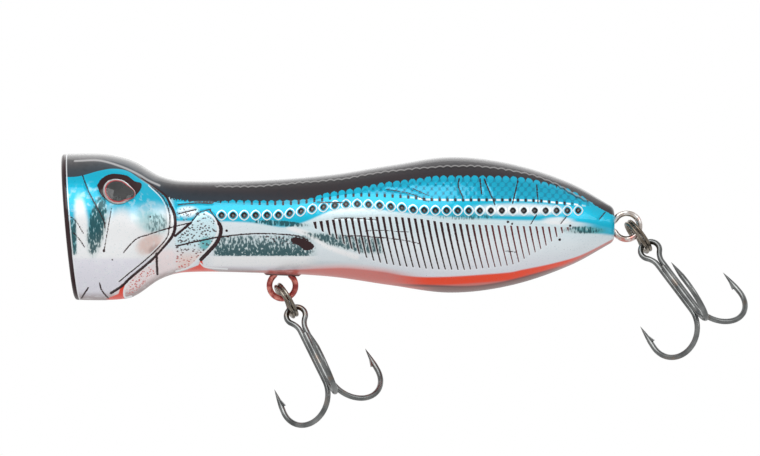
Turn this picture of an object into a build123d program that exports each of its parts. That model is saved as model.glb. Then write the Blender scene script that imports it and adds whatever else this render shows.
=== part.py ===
"""Topwater popper with two treble hooks, as separate pieces, in millimetres.

Frame: the origin is the centre of the line-tie loop in the cupped mouth. +X runs from
the nose to the tail, +Z is the back of the lure, and -Y is its left side.
"""

import math
import os

from build123d import *

# Body: distances are measured back from the upper lip unless a name says otherwise.
BODY_LENGTH = 120.0
LIP_TO_TIE = 6.0            # upper lip to the centre of the line-tie loop
FACE_LEAN = 5.0             # degrees that the lower lip sits back
HEAD_TOP, HEAD_BOTTOM, HEAD_SIDE = 15.7, 16.1, 15.2
WAIST_TOP, WAIST_BOTTOM, WAIST_SIDE = 9.8, 10.05, 9.4
RUMP_TOP, RUMP_BOTTOM, RUMP_SIDE = 15.0, 14.45, 11.9
TAIL_TOP, TAIL_BOTTOM, TAIL_SIDE = 4.0, 3.3, 3.5
WALL = 1.8
LIP_THICKNESS = 2.1
LIP_ROUND = 0.7
TAIL_ROUND = 0.9
CUP_DEPTH = 10.5
CUP_CUTTER = 4.2            # how far the cup's cutter stands in front of the face
TAIL_SOLID = 11.0           # length of solid plastic at the tail
RIB = 1.2                   # thickness of bulkheads and shelves
STATION_GAP = 2.0           # least distance between the sections that the body is lofted through

# Through wire and its three loops.
WIRE = 1.3
GROOVE_CLEARANCE = 0.05
TIE_LOOP = 2.6              # centre-line radii
HANGER_LOOP = 2.83
TAIL_LOOP = 2.83
LEG_GAP = 0.14              # between the two wires that leave a loop
NECK_BEND = 1.5
HANGER_BEND = 1.8
HANGER_FROM_LIP = 47.9
HANGER_DROP = 2.6           # belly surface to the centre of the hanger loop
TAIL_LOOP_PROUD = 2.7       # tail face to the centre of the tail loop
NOSE_WIRE_END = 5.0         # lengths of the cut ends that lie beside the wire
TAIL_WIRE_END = 9.0
RUN_BEND = 6.0
BOSS_LENGTH, BOSS_WIDTH, BOSS_PROUD = 7.4, 3.0, 0.45

# Eyes.
EYE_FROM_LIP = 13.8
EYE_ANGLE = 31.0            # degrees up from the side of the head
EYE_LARGE, EYE_SMALL, EYE_SPREAD = 3.15, 1.5, 2.5
EYE_POCKET = 1.1
EYE_PRINT = 0.3
EYE_PROUD = 0.7
EYE_ROUND = 1.2
EYE_CLEARANCE = 0.05
EYE_CUTTER = 10.0           # how far the pocket's cutter stands out of the head

# Split rings and treble hooks.
RING_OUTER = 8.4
RING_WIRE = 0.8
RING_LAYER_GAP = 0.03
RING_JOG = 32.0             # half angle of the step between the two turns, degrees
RING_END_GAP = 14.0         # degrees between a cut end and that step
HOOK_WIRE = 1.2
HOOK_EYE = 2.08             # centre-line radius of the eye
HOOK_NECK_BEND = 4.0
HOOK_SHANK = 17.4           # eye centre to the start of the bend
HOOK_GAPE = 12.2            # shank to spear, centre to centre
HOOK_BEND_SWEEP = 184.0
HOOK_SPEAR = 1.3            # straight wire after the bend
HOOK_POINT = 4.4
POINT_MIDDLE, POINT_TIP = 0.62, 0.04    # shares of the wire's radius halfway along and at the tip
BARB_FROM_TIP = 4.6
BARB_LENGTH, BARB_PROUD, BARB_WIDTH = 1.5, 0.45, 0.5
BRAZE_GAP = 0.02
SINGLE_START = 5.5          # eye centre to the top of the brazed single hook

# How the ring and hook hang from each loop, in degrees.
HANG_SIDEWAYS = 26.5        # towards the left side of the lure
HANG_TWIST = -9.0
HANGER_CHAIN = {"touch": 10.6, "ring": 34.0, "hook": 27.5}
TAIL_CHAIN = {"touch": 49.6, "ring": 40.3, "hook": 36.5}
RING_SLACK = 0.65           # loop wire to ring centre
EYE_SLACK = 0.5             # ring wire to hook eye centre

# Rattles and ballast.
FRONT_BALL, REAR_BALL = 5.0, 7.0
FRONT_CELL, REAR_CELL = 14.5, 15.5
CUP_TO_CELL = 1.8           # back of the cup's wall to the front rattle cell
BALL_CLEARANCE = 0.15
TAIL_BALL_UPPER, TAIL_BALL_LOWER = 8.0, 6.4
TAIL_BALL_FROM_TAIL = 20.5
CAGE_SPACING = 2.4          # between the three bulkheads that hold the tail balls
CAGE_WIRE_GAP = 0.9         # wire to tail ball
KEEL_DIAMETER, KEEL_LENGTH = 4.4, 14.0
KEEL_CLEARANCE = 0.08
KEEL_WIRE_GAP = 0.4
KEEL_RIBS = (0.2, 0.8)      # places of its two ribs, as shares of its length

# Locating pins.
PIN, PIN_LENGTH, PIN_CLEARANCE, PIN_BOSS = 2.0, 2.2, 0.05, 4.2
PIN_END_GAP = 0.2           # left beyond the end of a pin in its socket
PIN_WIRE_GAP = 0.3          # wire to the boss of the rear pin
PIN_PLACES_FROM_LIP = ((19.5, -7.0), (39.0, 4.6), (53.5, 3.6))

LIP_X = -LIP_TO_TIE
TAIL_X = LIP_X + BODY_LENGTH
HANGER_X = LIP_X + HANGER_FROM_LIP
FACE_X = LIP_X + HEAD_TOP * math.tan(math.radians(FACE_LEAN))
FAR = 200.0
LEFT_SIDE = Pos(0, -FAR / 2, 0) * Box(2 * FAR, FAR, 2 * FAR)


def mix(a, b, share):
    """A value part of the way from a to b."""
    return a + (b - a) * share


# Share of the body's length, top, bottom and half width.
OUTLINE = [
    (0.000, HEAD_TOP, HEAD_BOTTOM * 0.99, HEAD_SIDE),
    (0.070, HEAD_TOP, HEAD_BOTTOM, HEAD_SIDE),
    (0.105, mix(WAIST_TOP, HEAD_TOP, 0.89), mix(WAIST_BOTTOM, HEAD_BOTTOM, 0.97), HEAD_SIDE * 0.98),
    (0.134, mix(WAIST_TOP, HEAD_TOP, 0.69), mix(WAIST_BOTTOM, HEAD_BOTTOM, 0.82), HEAD_SIDE * 0.92),
    (0.178, mix(WAIST_TOP, HEAD_TOP, 0.18), mix(WAIST_BOTTOM, HEAD_BOTTOM, 0.24), WAIST_SIDE * 1.16),
    (0.221, WAIST_TOP, WAIST_BOTTOM, WAIST_SIDE * 1.01),
    (0.352, mix(WAIST_TOP, RUMP_TOP, 0.02), mix(WAIST_BOTTOM, RUMP_BOTTOM, 0.02), WAIST_SIDE),
    (0.483, mix(WAIST_TOP, RUMP_TOP, 0.25), mix(WAIST_BOTTOM, RUMP_BOTTOM, 0.20), WAIST_SIDE * 1.05),
    (0.594, mix(WAIST_TOP, RUMP_TOP, 0.65), mix(WAIST_BOTTOM, RUMP_BOTTOM, 0.63), RUMP_SIDE * 0.92),
    (0.703, RUMP_TOP, RUMP_BOTTOM, RUMP_SIDE),
    (0.812, mix(TAIL_TOP, RUMP_TOP, 0.87), mix(TAIL_BOTTOM, RUMP_BOTTOM, 0.86), RUMP_SIDE * 0.92),
    (0.920, mix(TAIL_TOP, RUMP_TOP, 0.49), mix(TAIL_BOTTOM, RUMP_BOTTOM, 0.47), RUMP_SIDE * 0.66),
    (1.000, TAIL_TOP, TAIL_BOTTOM, TAIL_SIDE),
]


def outline(x):
    """(top, bottom, half width) of the body's section at x, by a cubic through OUTLINE."""
    at = min(max((x - LIP_X) / BODY_LENGTH, 0.0), 1.0)
    rows = OUTLINE
    i = max(k for k in range(len(rows) - 1) if rows[k][0] <= at)
    before, here = rows[max(i - 1, 0)], rows[i]
    after, later = rows[i + 1], rows[min(i + 2, len(rows) - 1)]
    span = after[0] - here[0]
    t = (at - here[0]) / span
    found = []
    for k in (1, 2, 3):
        slope_here = (after[k] - before[k]) / (after[0] - before[0]) * span
        slope_after = (later[k] - here[k]) / (later[0] - here[0]) * span
        found.append(
            here[k] * (2 * t**3 - 3 * t**2 + 1)
            + slope_here * (t**3 - 2 * t**2 + t)
            + after[k] * (3 * t**2 - 2 * t**3)
            + slope_after * (t**3 - t**2)
        )
    return found


def body_loft(start, end, inset):
    """The left half of the body's outer form from x = start to end, its sections smaller by
    inset all round."""
    stations = [LIP_X + row[0] * BODY_LENGTH for row in OUTLINE]
    inner = [x for x in stations if start + STATION_GAP < x < end - STATION_GAP]
    sections = []
    for x in [start, *inner, end]:
        top, bottom, side = outline(x)
        place = Plane((x, 0, (top - bottom) / 2), x_dir=(0, 1, 0), z_dir=(1, 0, 0))
        height, width = (top + bottom) / 2 - inset, side - inset
        curve = EllipticalCenterArc((0, 0), width, height, 90, arc_size=180)
        sections.append(place * make_face([curve.edge(), Line(curve @ 1, curve @ 0).edge()]))
    return loft(sections)


def slab(x, z, y=(-FAR, FAR)):
    """A box from its lowest to its highest x, z and y."""
    size = (x[1] - x[0], y[1] - y[0], z[1] - z[0])
    centre = ((x[0] + x[1]) / 2, (y[0] + y[1]) / 2, (z[0] + z[1]) / 2)
    return Pos(*centre) * Box(*size)


def rod_y(x, z, radius, y=(-FAR, FAR)):
    """A cylinder along Y."""
    return Pos(x, (y[0] + y[1]) / 2, z) * Rot(90, 0, 0) * Cylinder(radius, y[1] - y[0])


def rod_x(x, z, radius):
    """A cylinder along X from x[0] to x[1], on the centre plane."""
    return Pos((x[0] + x[1]) / 2, 0, z) * Rot(0, 90, 0) * Cylinder(radius, x[1] - x[0])


# --- Through wire -----------------------------------------------------------------

LEG = (WIRE + LEG_GAP) / 2
HANGER_Z = -outline(HANGER_X)[1] - HANGER_DROP
BELLY_RUN_Z = HANGER_Z + HANGER_LOOP + WIRE + 2 * GROOVE_CLEARANCE + HANGER_BEND / 2
HANGER_FOOT = math.sqrt(
    (HANGER_LOOP + HANGER_BEND) ** 2 - (BELLY_RUN_Z - HANGER_BEND - HANGER_Z) ** 2
)
TAIL_LOOP_X = TAIL_X + TAIL_LOOP_PROUD


def degrees_of(x, y):
    """Direction of a vector in the drawing plane, in degrees."""
    return math.degrees(math.atan2(y, x))


def neck(radius):
    """How far behind an end loop's centre its two legs become straight."""
    return math.sqrt((radius + NECK_BEND) ** 2 - (LEG + NECK_BEND) ** 2)


def end_loop(x, heading, radius):
    """A loop at an end of the wire, from its lower leg round to its upper leg. heading is the
    direction from the loop to its legs along X, 1 or -1."""
    back = neck(radius)
    lean = degrees_of(back, LEG + NECK_BEND)
    if heading > 0:
        return [
            CenterArc((x + back, -LEG - NECK_BEND), NECK_BEND, 90, 90 - lean),
            CenterArc((x, 0), radius, -lean, 2 * lean - 360),
            CenterArc((x + back, LEG + NECK_BEND), NECK_BEND, 180 + lean, 90 - lean),
        ]
    return [
        CenterArc((x - back, -LEG - NECK_BEND), NECK_BEND, 90, lean - 90),
        CenterArc((x, 0), radius, 180 + lean, 360 - 2 * lean),
        CenterArc((x - back, LEG + NECK_BEND), NECK_BEND, -lean, lean - 90),
    ]


def hanger_loop():
    """The loop under the belly, between two level runs of wire."""
    height = BELLY_RUN_Z - HANGER_BEND - HANGER_Z
    lean = degrees_of(HANGER_FOOT, height)
    bend_z = BELLY_RUN_Z - HANGER_BEND
    return [
        CenterArc((HANGER_X - HANGER_FOOT, bend_z), HANGER_BEND, 90, -90 - lean),
        CenterArc((HANGER_X, HANGER_Z), HANGER_LOOP, 180 - lean, 180 + 2 * lean),
        CenterArc((HANGER_X + HANGER_FOOT, bend_z), HANGER_BEND, 180 + lean, -90 - lean),
    ]


def wire_path():
    """Centre line of the through wire, from its cut end at the nose to that at the tail."""
    nose, tail = neck(TIE_LOOP), TAIL_LOOP_X - neck(TAIL_LOOP)
    belly_front = HANGER_X - HANGER_FOOT
    belly_rear = HANGER_X + HANGER_FOOT
    fore = FilletPolyline(
        (nose, -LEG),
        (FRONT_CELL_X[1], -LEG),
        (belly_front - RUN_BEND, BELLY_RUN_Z),
        (belly_front, BELLY_RUN_Z),
        radius=RUN_BEND,
    )
    aft = FilletPolyline(
        (belly_rear, BELLY_RUN_Z),
        (belly_rear + RUN_BEND, BELLY_RUN_Z),
        (tail - TAIL_WIRE_END, LEG),
        (tail, LEG),
        radius=RUN_BEND,
    )
    drawn = [Line((nose + NOSE_WIRE_END, LEG), (nose, LEG))]
    drawn += end_loop(0, 1, TIE_LOOP)[::-1]
    drawn += fore.edges()
    drawn += hanger_loop()
    drawn += aft.edges()
    drawn += end_loop(TAIL_LOOP_X, -1, TAIL_LOOP)[::-1]
    drawn.append(Line((tail, -LEG), (tail - TAIL_WIRE_END, -LEG)))
    return Plane.XZ * Wire([e.edge() for e in drawn])


def tube(path, radius):
    """A round bar of that radius along a path."""
    start = Plane(path @ 0, z_dir=path % 0)
    return sweep(start * Circle(radius), path=path)


def run_z(x):
    """Height of the wire's long run behind the hanger, at x."""
    start = HANGER_X + HANGER_FOOT + RUN_BEND
    end = TAIL_LOOP_X - neck(TAIL_LOOP) - TAIL_WIRE_END
    return mix(BELLY_RUN_Z, LEG, min(max((x - start) / (end - start), 0), 1))


# --- Rattle cells and ballast -----------------------------------------------------

CUP_FLOOR = FACE_X + CUP_DEPTH
FRONT_START = CUP_FLOOR + WALL + CUP_TO_CELL
FRONT_CELL_X = (FRONT_START, FRONT_START + FRONT_CELL)
CAGE_X = TAIL_X - TAIL_BALL_FROM_TAIL
REAR_END = CAGE_X - TAIL_BALL_UPPER / 2 - 2 * RIB
REAR_CELLS_X = [
    (REAR_END - 2 * REAR_CELL - RIB, REAR_END - REAR_CELL - RIB),
    (REAR_END - REAR_CELL, REAR_END),
]
FRONT_BALL_Z = (outline(FRONT_CELL_X[1])[0] - WALL + WIRE / 2 - LEG) / 2
REAR_BALL_Z = (outline(REAR_CELLS_X[0][0])[0] - WALL + WIRE / 2 + run_z(REAR_END)) / 2
KEEL_X = (REAR_END - KEEL_LENGTH - RIB, REAR_END - RIB)
KEEL_Z = run_z(KEEL_X[0]) - WIRE / 2 - KEEL_WIRE_GAP - KEEL_DIAMETER / 2
WIRE_AT_CAGE = run_z(CAGE_X)
TAIL_BALLS = [
    (WIRE_AT_CAGE + WIRE / 2 + CAGE_WIRE_GAP + TAIL_BALL_UPPER / 2, TAIL_BALL_UPPER / 2),
    (WIRE_AT_CAGE - WIRE / 2 - CAGE_WIRE_GAP - TAIL_BALL_LOWER / 2, TAIL_BALL_LOWER / 2),
]


def pin_places():
    """(x, z) of each locating pin, the last one partly in the tail's solid end."""
    places = [(LIP_X + x, z) for x, z in PIN_PLACES_FROM_LIP]
    end = TAIL_X - TAIL_SOLID - PIN_BOSS / 4
    return places + [(end, LEG + WIRE / 2 + PIN_WIRE_GAP + PIN_BOSS / 2)]


def ball_cell(x, z, ball):
    """Two bulkheads and two shelves round the space that a rattle ball rolls in."""
    half = ball / 2 + BALL_CLEARANCE
    walls = [slab((x[0] - RIB, x[0]), (-FAR, FAR)), slab((x[1], x[1] + RIB), (-FAR, FAR))]
    walls.append(slab((x[0] - RIB, x[1] + RIB), (z + half, z + half + RIB)))
    walls.append(slab((x[0] - RIB, x[1] + RIB), (z - half - RIB, z - half)))
    return walls


def ribs():
    """Everything that is left standing inside the hollow body."""
    made = ball_cell(FRONT_CELL_X, FRONT_BALL_Z, FRONT_BALL)
    for cell in REAR_CELLS_X:
        made += ball_cell(cell, REAR_BALL_Z, REAR_BALL)
    made += [rod_y(x, z, PIN_BOSS / 2) for x, z in pin_places()]
    for share in KEEL_RIBS:
        x = mix(*KEEL_X, share)
        made.append(slab((x - RIB / 2, x + RIB / 2), (-FAR, run_z(x))))
    for step in (-CAGE_SPACING, 0, CAGE_SPACING):
        x = CAGE_X + step
        made.append(slab((x - RIB / 2, x + RIB / 2), (-FAR, FAR)))
    return made


# --- Shells -----------------------------------------------------------------------

FACE = Plane((FACE_X, 0, 0), x_dir=(0, 1, 0), z_dir=Vector(1, 0, 0).rotate(Axis.Y, -FACE_LEAN))
CUP_RADIUS = min(HEAD_TOP, HEAD_SIDE, HEAD_BOTTOM) - LIP_THICKNESS


def cup(extra):
    """The concave mouth as a solid that stands in front of its floor, larger by extra all round."""
    depth, radius = CUP_DEPTH + extra, CUP_RADIUS + extra
    curve = EllipticalCenterArc((0, 0), depth, radius, 0, arc_size=90)
    edge = Polyline((0, radius), (-CUP_CUTTER, radius), (-CUP_CUTTER, 0), (depth, 0))
    half = make_face([*curve.edges(), *edge.edges()])
    along = Plane(FACE.origin, x_dir=FACE.z_dir, z_dir=(0, -1, 0))
    return along * revolve(half, Axis.X)


def egg(extra):
    """The eye's outline: a large circle and a small one behind it, with their common tangents."""
    large, small = EYE_LARGE + extra, EYE_SMALL + extra
    tilt = math.acos((large - small) / EYE_SPREAD)
    corners = [
        (large * math.cos(tilt), large * math.sin(tilt)),
        (EYE_SPREAD + small * math.cos(tilt), small * math.sin(tilt)),
        (EYE_SPREAD + small * math.cos(tilt), -small * math.sin(tilt)),
        (large * math.cos(tilt), -large * math.sin(tilt)),
    ]
    turn = math.degrees(tilt)
    edges = [
        Line(corners[0], corners[1]),
        CenterArc((EYE_SPREAD, 0), small, turn, -2 * turn),
        Line(corners[2], corners[3]),
        CenterArc((0, 0), large, -turn, 2 * turn - 360),
    ]
    return Pos(-EYE_SPREAD / 2, 0) * make_face([e.edge() for e in edges])


def side_point(x, angle):
    """The point of the body's left side at x, angle degrees up from level."""
    top, bottom, side = outline(x)
    turn = math.radians(angle)
    middle, half = (top - bottom) / 2, (top + bottom) / 2
    return Vector(x, -side * math.cos(turn), middle + half * math.sin(turn))


def eye_plane():
    """The plane that the left eye lies in, with its normal out of the head."""
    x, step = LIP_X + EYE_FROM_LIP, 1.0
    along = side_point(x + step, EYE_ANGLE) - side_point(x - step, EYE_ANGLE)
    up = side_point(x, EYE_ANGLE + step) - side_point(x, EYE_ANGLE - step)
    return Plane(side_point(x, EYE_ANGLE), x_dir=along, z_dir=along.cross(up))


def eye_solid(low, high, extra):
    """The eye's outline from low to high along its plane's normal."""
    return eye_plane().offset(low) * extrude(egg(extra), high - low)


def mirrored(shape):
    """The same shape on the right side."""
    return mirror(shape, Plane.XZ)


def hanger_boss():
    """A low pad on the belly, round the wire of the hanger loop."""
    level = -outline(HANGER_X)[1]
    pad = Pos(HANGER_X, 0, level - BOSS_PROUD) * SlotOverall(BOSS_LENGTH, BOSS_WIDTH)
    return extrude(pad, BOSS_PROUD + WALL / 2)


def half_shell():
    """The left shell without its pins and ball seats, which is also the right one mirrored."""
    outside = body_loft(LIP_X - LIP_THICKNESS, TAIL_X, 0)
    outside -= FACE * Pos(0, 0, -FAR / 2) * Box(FAR, FAR, FAR)
    ends = outside.faces().sort_by(Axis.X)
    for end, radius in ((ends[0], LIP_ROUND), (ends[-1], TAIL_ROUND)):
        rim = end.edges().filter_by(GeomType.LINE, reverse=True)
        outside = fillet(rim, radius)
    outside += hanger_boss() & LEFT_SIDE
    hollow = body_loft(LIP_X + LIP_THICKNESS, TAIL_X - TAIL_SOLID, WALL) - cup(WALL)
    hollow -= ribs()
    shell = outside - cup(0) - hollow
    shell -= tube(wire_path(), WIRE / 2 + GROOVE_CLEARANCE)
    slot = (KEEL_X[0] - KEEL_CLEARANCE, KEEL_X[1] + KEEL_CLEARANCE)
    shell -= rod_x(slot, KEEL_Z, KEEL_DIAMETER / 2 + KEEL_CLEARANCE)
    return shell - eye_solid(-EYE_POCKET, EYE_CUTTER, EYE_CLEARANCE)


def shells():
    """(left, right): the left half carries the pins and the right half their sockets."""
    left = half_shell()
    right = mirrored(left)
    for z, r in TAIL_BALLS:
        seat = Pos(CAGE_X, 0, z) * Sphere(r + GROOVE_CLEARANCE)
        left -= seat
        right -= seat
    for x, z in pin_places():
        left += rod_y(x, z, PIN / 2, (-WALL, PIN_LENGTH))
        right -= rod_y(x, z, PIN / 2 + PIN_CLEARANCE, (-WALL, PIN_LENGTH + PIN_END_GAP))
    return left, right


# --- Rings and hooks --------------------------------------------------------------


def split_ring():
    """Two turns of wire lying on each other, with one step between them. It lies in XY."""
    radius = (RING_OUTER - RING_WIRE) / 2
    level = (RING_WIRE + RING_LAYER_GAP) / 2
    end = 360 - RING_JOG - RING_END_GAP
    lower = Pos(0, 0, -level) * CenterArc((0, 0), radius, -end, end - RING_JOG)
    upper = Pos(0, 0, level) * CenterArc((0, 0), radius, RING_JOG, end - RING_JOG)
    middle = (radius, 0, 0)
    step = Spline(lower @ 1, middle, upper @ 0, tangents=(lower % 1, upper % 0))
    made = tube(lower, RING_WIRE / 2) + tube(upper, RING_WIRE / 2)
    return made + tube(step, RING_WIRE / 2)


SHANK = (HOOK_WIRE + BRAZE_GAP) / 2


def bend_edges(start, azimuth):
    """The bend and spear that follow a shank ending at start, in the upright plane that faces
    azimuth degrees from X, with that plane."""
    plane = Plane(start, x_dir=(math.cos(math.radians(azimuth)), math.sin(math.radians(azimuth)), 0),
                  z_dir=Vector(0, -1, 0).rotate(Axis.Z, azimuth))
    arc = CenterArc((HOOK_GAPE / 2, 0), HOOK_GAPE / 2, 180, HOOK_BEND_SWEEP)
    spear = Line(arc @ 1, (arc @ 1) + (arc % 1) * HOOK_SPEAR)
    return plane, [plane * arc, plane * spear]


def point(end, direction, inward):
    """The tapering point with its barb. end is where it starts and inward faces the shank."""
    base = HOOK_WIRE / 2
    place = Plane(end, x_dir=inward, z_dir=direction)
    side = ThreePointArc((base, 0), (base * POINT_MIDDLE, HOOK_POINT / 2), (base * POINT_TIP, HOOK_POINT))
    closing = Polyline((base * POINT_TIP, HOOK_POINT), (0, HOOK_POINT), (0, 0), (base, 0))
    profile = make_face([*side.edges(), *closing.edges()])
    needle = revolve(Plane.XZ * profile, Axis.Z)
    heel = HOOK_POINT - BARB_FROM_TIP
    barb = Polyline((0, heel), (base + BARB_PROUD, heel), (0, heel + BARB_LENGTH * 2), close=True)
    wedge = extrude(Plane.XZ * make_face(barb.edges()), BARB_WIDTH / 2, both=True)
    return place * needle + place * wedge


def hook_arm(start, azimuth, before):
    """One arm of a treble: the wire along the edges before, then its bend, spear and point."""
    plane, after = bend_edges(start, azimuth)
    path = Wire([e.edge() for e in [*before, *after]])
    return tube(path, HOOK_WIRE / 2) + point(path @ 1, path % 1, plane.x_dir * -1)


def double_hook():
    """The long wire of a treble: an eye between two shanks. The eye's centre is the origin,
    the shanks run down, and the eye lies in XZ."""
    reach = HOOK_EYE + HOOK_NECK_BEND
    back = math.sqrt(reach**2 - (SHANK + HOOK_NECK_BEND) ** 2)
    lean = degrees_of(SHANK + HOOK_NECK_BEND, back)
    arms = []
    for side in (-1, 1):
        eye = CenterArc((0, 0), HOOK_EYE, 90, -side * (90 + lean))
        bend_at = (side * (SHANK + HOOK_NECK_BEND), -back)
        start = 90 + side * 90 - side * lean
        neck_arc = CenterArc(bend_at, HOOK_NECK_BEND, start, side * lean)
        shank = Line((side * SHANK, -back), (side * SHANK, -HOOK_SHANK))
        before = [Plane.XZ * e for e in (eye, neck_arc, shank)]
        azimuth = 90 - side * 60
        arms.append(hook_arm((side * SHANK, 0, -HOOK_SHANK), azimuth, before))
    return arms[0] + arms[1]


def single_hook():
    """The short wire of a treble, brazed into the groove between the two shanks."""
    y = -math.sqrt((HOOK_WIRE + BRAZE_GAP) ** 2 - SHANK**2)
    shank = Line((0, y, -SINGLE_START), (0, y, -HOOK_SHANK))
    return hook_arm((0, y, -HOOK_SHANK), -90, [shank])


def chain_frames(centre, radius, angles):
    """Planes for a split ring and a treble hung from a loop, and their two hinge axes."""
    touch = math.radians(angles["touch"])
    wire_point = Vector(centre[0] + radius * math.sin(touch), 0, centre[1] - radius * math.cos(touch))
    wire_axis = Vector(math.cos(touch), 0, math.sin(touch))

    def hang(angle):
        turn, lean = math.radians(angle), math.radians(HANG_SIDEWAYS)
        flat = Vector(math.sin(turn), 0, -math.cos(turn))
        return flat * math.cos(lean) - Vector(0, math.sin(lean), 0)

    along = hang(angles["ring"])
    across = Vector(0, 1, 0) - along * along.Y
    across = across.normalized().rotate(Axis((0, 0, 0), along), HANG_TWIST)
    ring_centre = wire_point + along * RING_SLACK
    ring = Plane(ring_centre, x_dir=across, z_dir=across.cross(along))
    ring_wire = ring_centre + along * ((RING_OUTER - RING_WIRE) / 2)
    swing = angles["hook"] - angles["ring"]
    shank = along.rotate(Axis((0, 0, 0), across), -swing)
    hook = Plane(ring_wire + shank * EYE_SLACK, x_dir=across.cross(shank * -1), z_dir=shank * -1)
    return ring, hook, (wire_point, wire_axis), (ring_wire, across)


CHAINS = {
    "belly": chain_frames((HANGER_X, HANGER_Z), HANGER_LOOP, HANGER_CHAIN),
    "tail": chain_frames((TAIL_LOOP_X, 0), TAIL_LOOP, TAIL_CHAIN),
}


def hook_pieces():
    """The split rings and treble wires of both chains, by node name."""
    made = {}
    for name, (ring, hook, ring_hinge, hook_hinge) in CHAINS.items():
        made[f"{name}_split_ring"] = ring * split_ring()
        made[f"{name}_treble_double_hook"] = hook * double_hook()
        made[f"{name}_treble_single_hook"] = hook * single_hook()
        for label, (at, axis) in (("ring", ring_hinge), ("hook", hook_hinge)):
            print(name, label, "hinge at", tuple(round(v, 4) for v in at),
                  "axis", tuple(round(v, 5) for v in axis))
    return made


# --- Small solids inside and on the body ------------------------------------------


def eye_pieces():
    """The printed eye and its clear dome, on each side."""
    floor = -EYE_POCKET
    print_left = eye_solid(floor, floor + EYE_PRINT, 0)
    dome_left = extrude(egg(0), EYE_PROUD - floor - EYE_PRINT)
    dome_left = fillet(dome_left.faces().sort_by(Axis.Z)[-1].edges(), EYE_ROUND)
    dome_left = eye_plane().offset(floor + EYE_PRINT) * dome_left
    return {
        "eye_print_left": print_left,
        "eye_print_right": mirrored(print_left),
        "eye_dome_left": dome_left,
        "eye_dome_right": mirrored(dome_left),
    }


def loose_pieces():
    """Rattle balls at the tail end of their cells, and the fixed ballast."""
    rest_front = FRONT_CELL_X[1] - FRONT_BALL / 2 - BALL_CLEARANCE
    made = {"rattle_ball_front": Pos(rest_front, 0, FRONT_BALL_Z) * Sphere(FRONT_BALL / 2)}
    for name, cell in zip(("rattle_ball_middle", "rattle_ball_rear"), REAR_CELLS_X):
        x = cell[1] - REAR_BALL / 2 - BALL_CLEARANCE
        made[name] = Pos(x, 0, REAR_BALL_Z) * Sphere(REAR_BALL / 2)
    made["keel_weight"] = rod_x(KEEL_X, KEEL_Z, KEEL_DIAMETER / 2)
    for name, (z, r) in zip(("tail_weight_upper", "tail_weight_lower"), TAIL_BALLS):
        made[name] = Pos(CAGE_X, 0, z) * Sphere(r)
    return made


def main():
    """Builds every piece and writes one STEP file for each."""
    os.makedirs("parts", exist_ok=True)
    pieces = dict(zip(("shell_left", "shell_right"), shells()))
    pieces["through_wire"] = tube(wire_path(), WIRE / 2)
    pieces |= eye_pieces() | hook_pieces() | loose_pieces()
    for name, shape in pieces.items():
        export_step(shape, f"parts/{name}.step")
    print("rattle travel", FRONT_CELL - FRONT_BALL - 2 * BALL_CLEARANCE,
          REAR_CELL - REAR_BALL - 2 * BALL_CLEARANCE)


main()
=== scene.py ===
"""Looks of the topwater popper: printed foil under a clear coat, plated hooks, lacquered wire.

Lengths in the livery are millimetres: s is measured back from the upper lip and z up from
the line tie. Everything that reaches Blender is in metres, in the frame of the part.
"""

import math
from types import SimpleNamespace

import bmesh
import bpy
import numpy as np
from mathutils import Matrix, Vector

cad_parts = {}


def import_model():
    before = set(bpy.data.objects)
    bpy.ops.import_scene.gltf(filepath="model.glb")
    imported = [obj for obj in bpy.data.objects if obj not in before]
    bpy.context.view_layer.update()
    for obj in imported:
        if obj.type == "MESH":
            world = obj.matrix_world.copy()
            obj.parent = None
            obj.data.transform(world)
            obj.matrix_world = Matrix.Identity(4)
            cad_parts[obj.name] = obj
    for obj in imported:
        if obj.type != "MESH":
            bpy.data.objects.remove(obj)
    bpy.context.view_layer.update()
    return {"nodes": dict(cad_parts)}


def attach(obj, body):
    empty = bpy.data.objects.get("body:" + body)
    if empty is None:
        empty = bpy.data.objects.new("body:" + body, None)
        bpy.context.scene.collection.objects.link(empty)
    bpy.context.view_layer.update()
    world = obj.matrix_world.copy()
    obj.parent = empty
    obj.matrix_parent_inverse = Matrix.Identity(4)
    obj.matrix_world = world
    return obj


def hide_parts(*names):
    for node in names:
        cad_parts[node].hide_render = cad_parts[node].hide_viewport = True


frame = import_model()

MM = 0.001
LIP_X = -6.0
LENGTH = 120.0
FACE_SLOPE = math.tan(math.radians(5.0))
HEAD_TOP = 15.7
CUP_RADIUS, CUP_DEPTH = 13.1, 10.5
LIP_ROUND, TAIL_ROUND = 0.7, 0.9
WALL = 1.8
CAVITY = (10.6, 109.0)

# --- Body form ---------------------------------------------------------------------

# Share of the length, top, bottom, half width.
OUTLINE = np.array([
    (0.000, 15.70, 15.94, 15.20),
    (0.070, 15.70, 16.10, 15.20),
    (0.105, 15.05, 15.92, 14.90),
    (0.134, 13.87, 15.01, 13.98),
    (0.178, 10.86, 11.50, 10.90),
    (0.221, 9.80, 10.05, 9.49),
    (0.352, 9.90, 10.14, 9.40),
    (0.483, 11.10, 10.93, 9.87),
    (0.594, 13.18, 12.82, 10.95),
    (0.703, 15.00, 14.45, 11.90),
    (0.812, 13.57, 12.89, 10.95),
    (0.920, 9.39, 8.54, 7.85),
    (1.000, 4.00, 3.30, 3.50),
])


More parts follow.
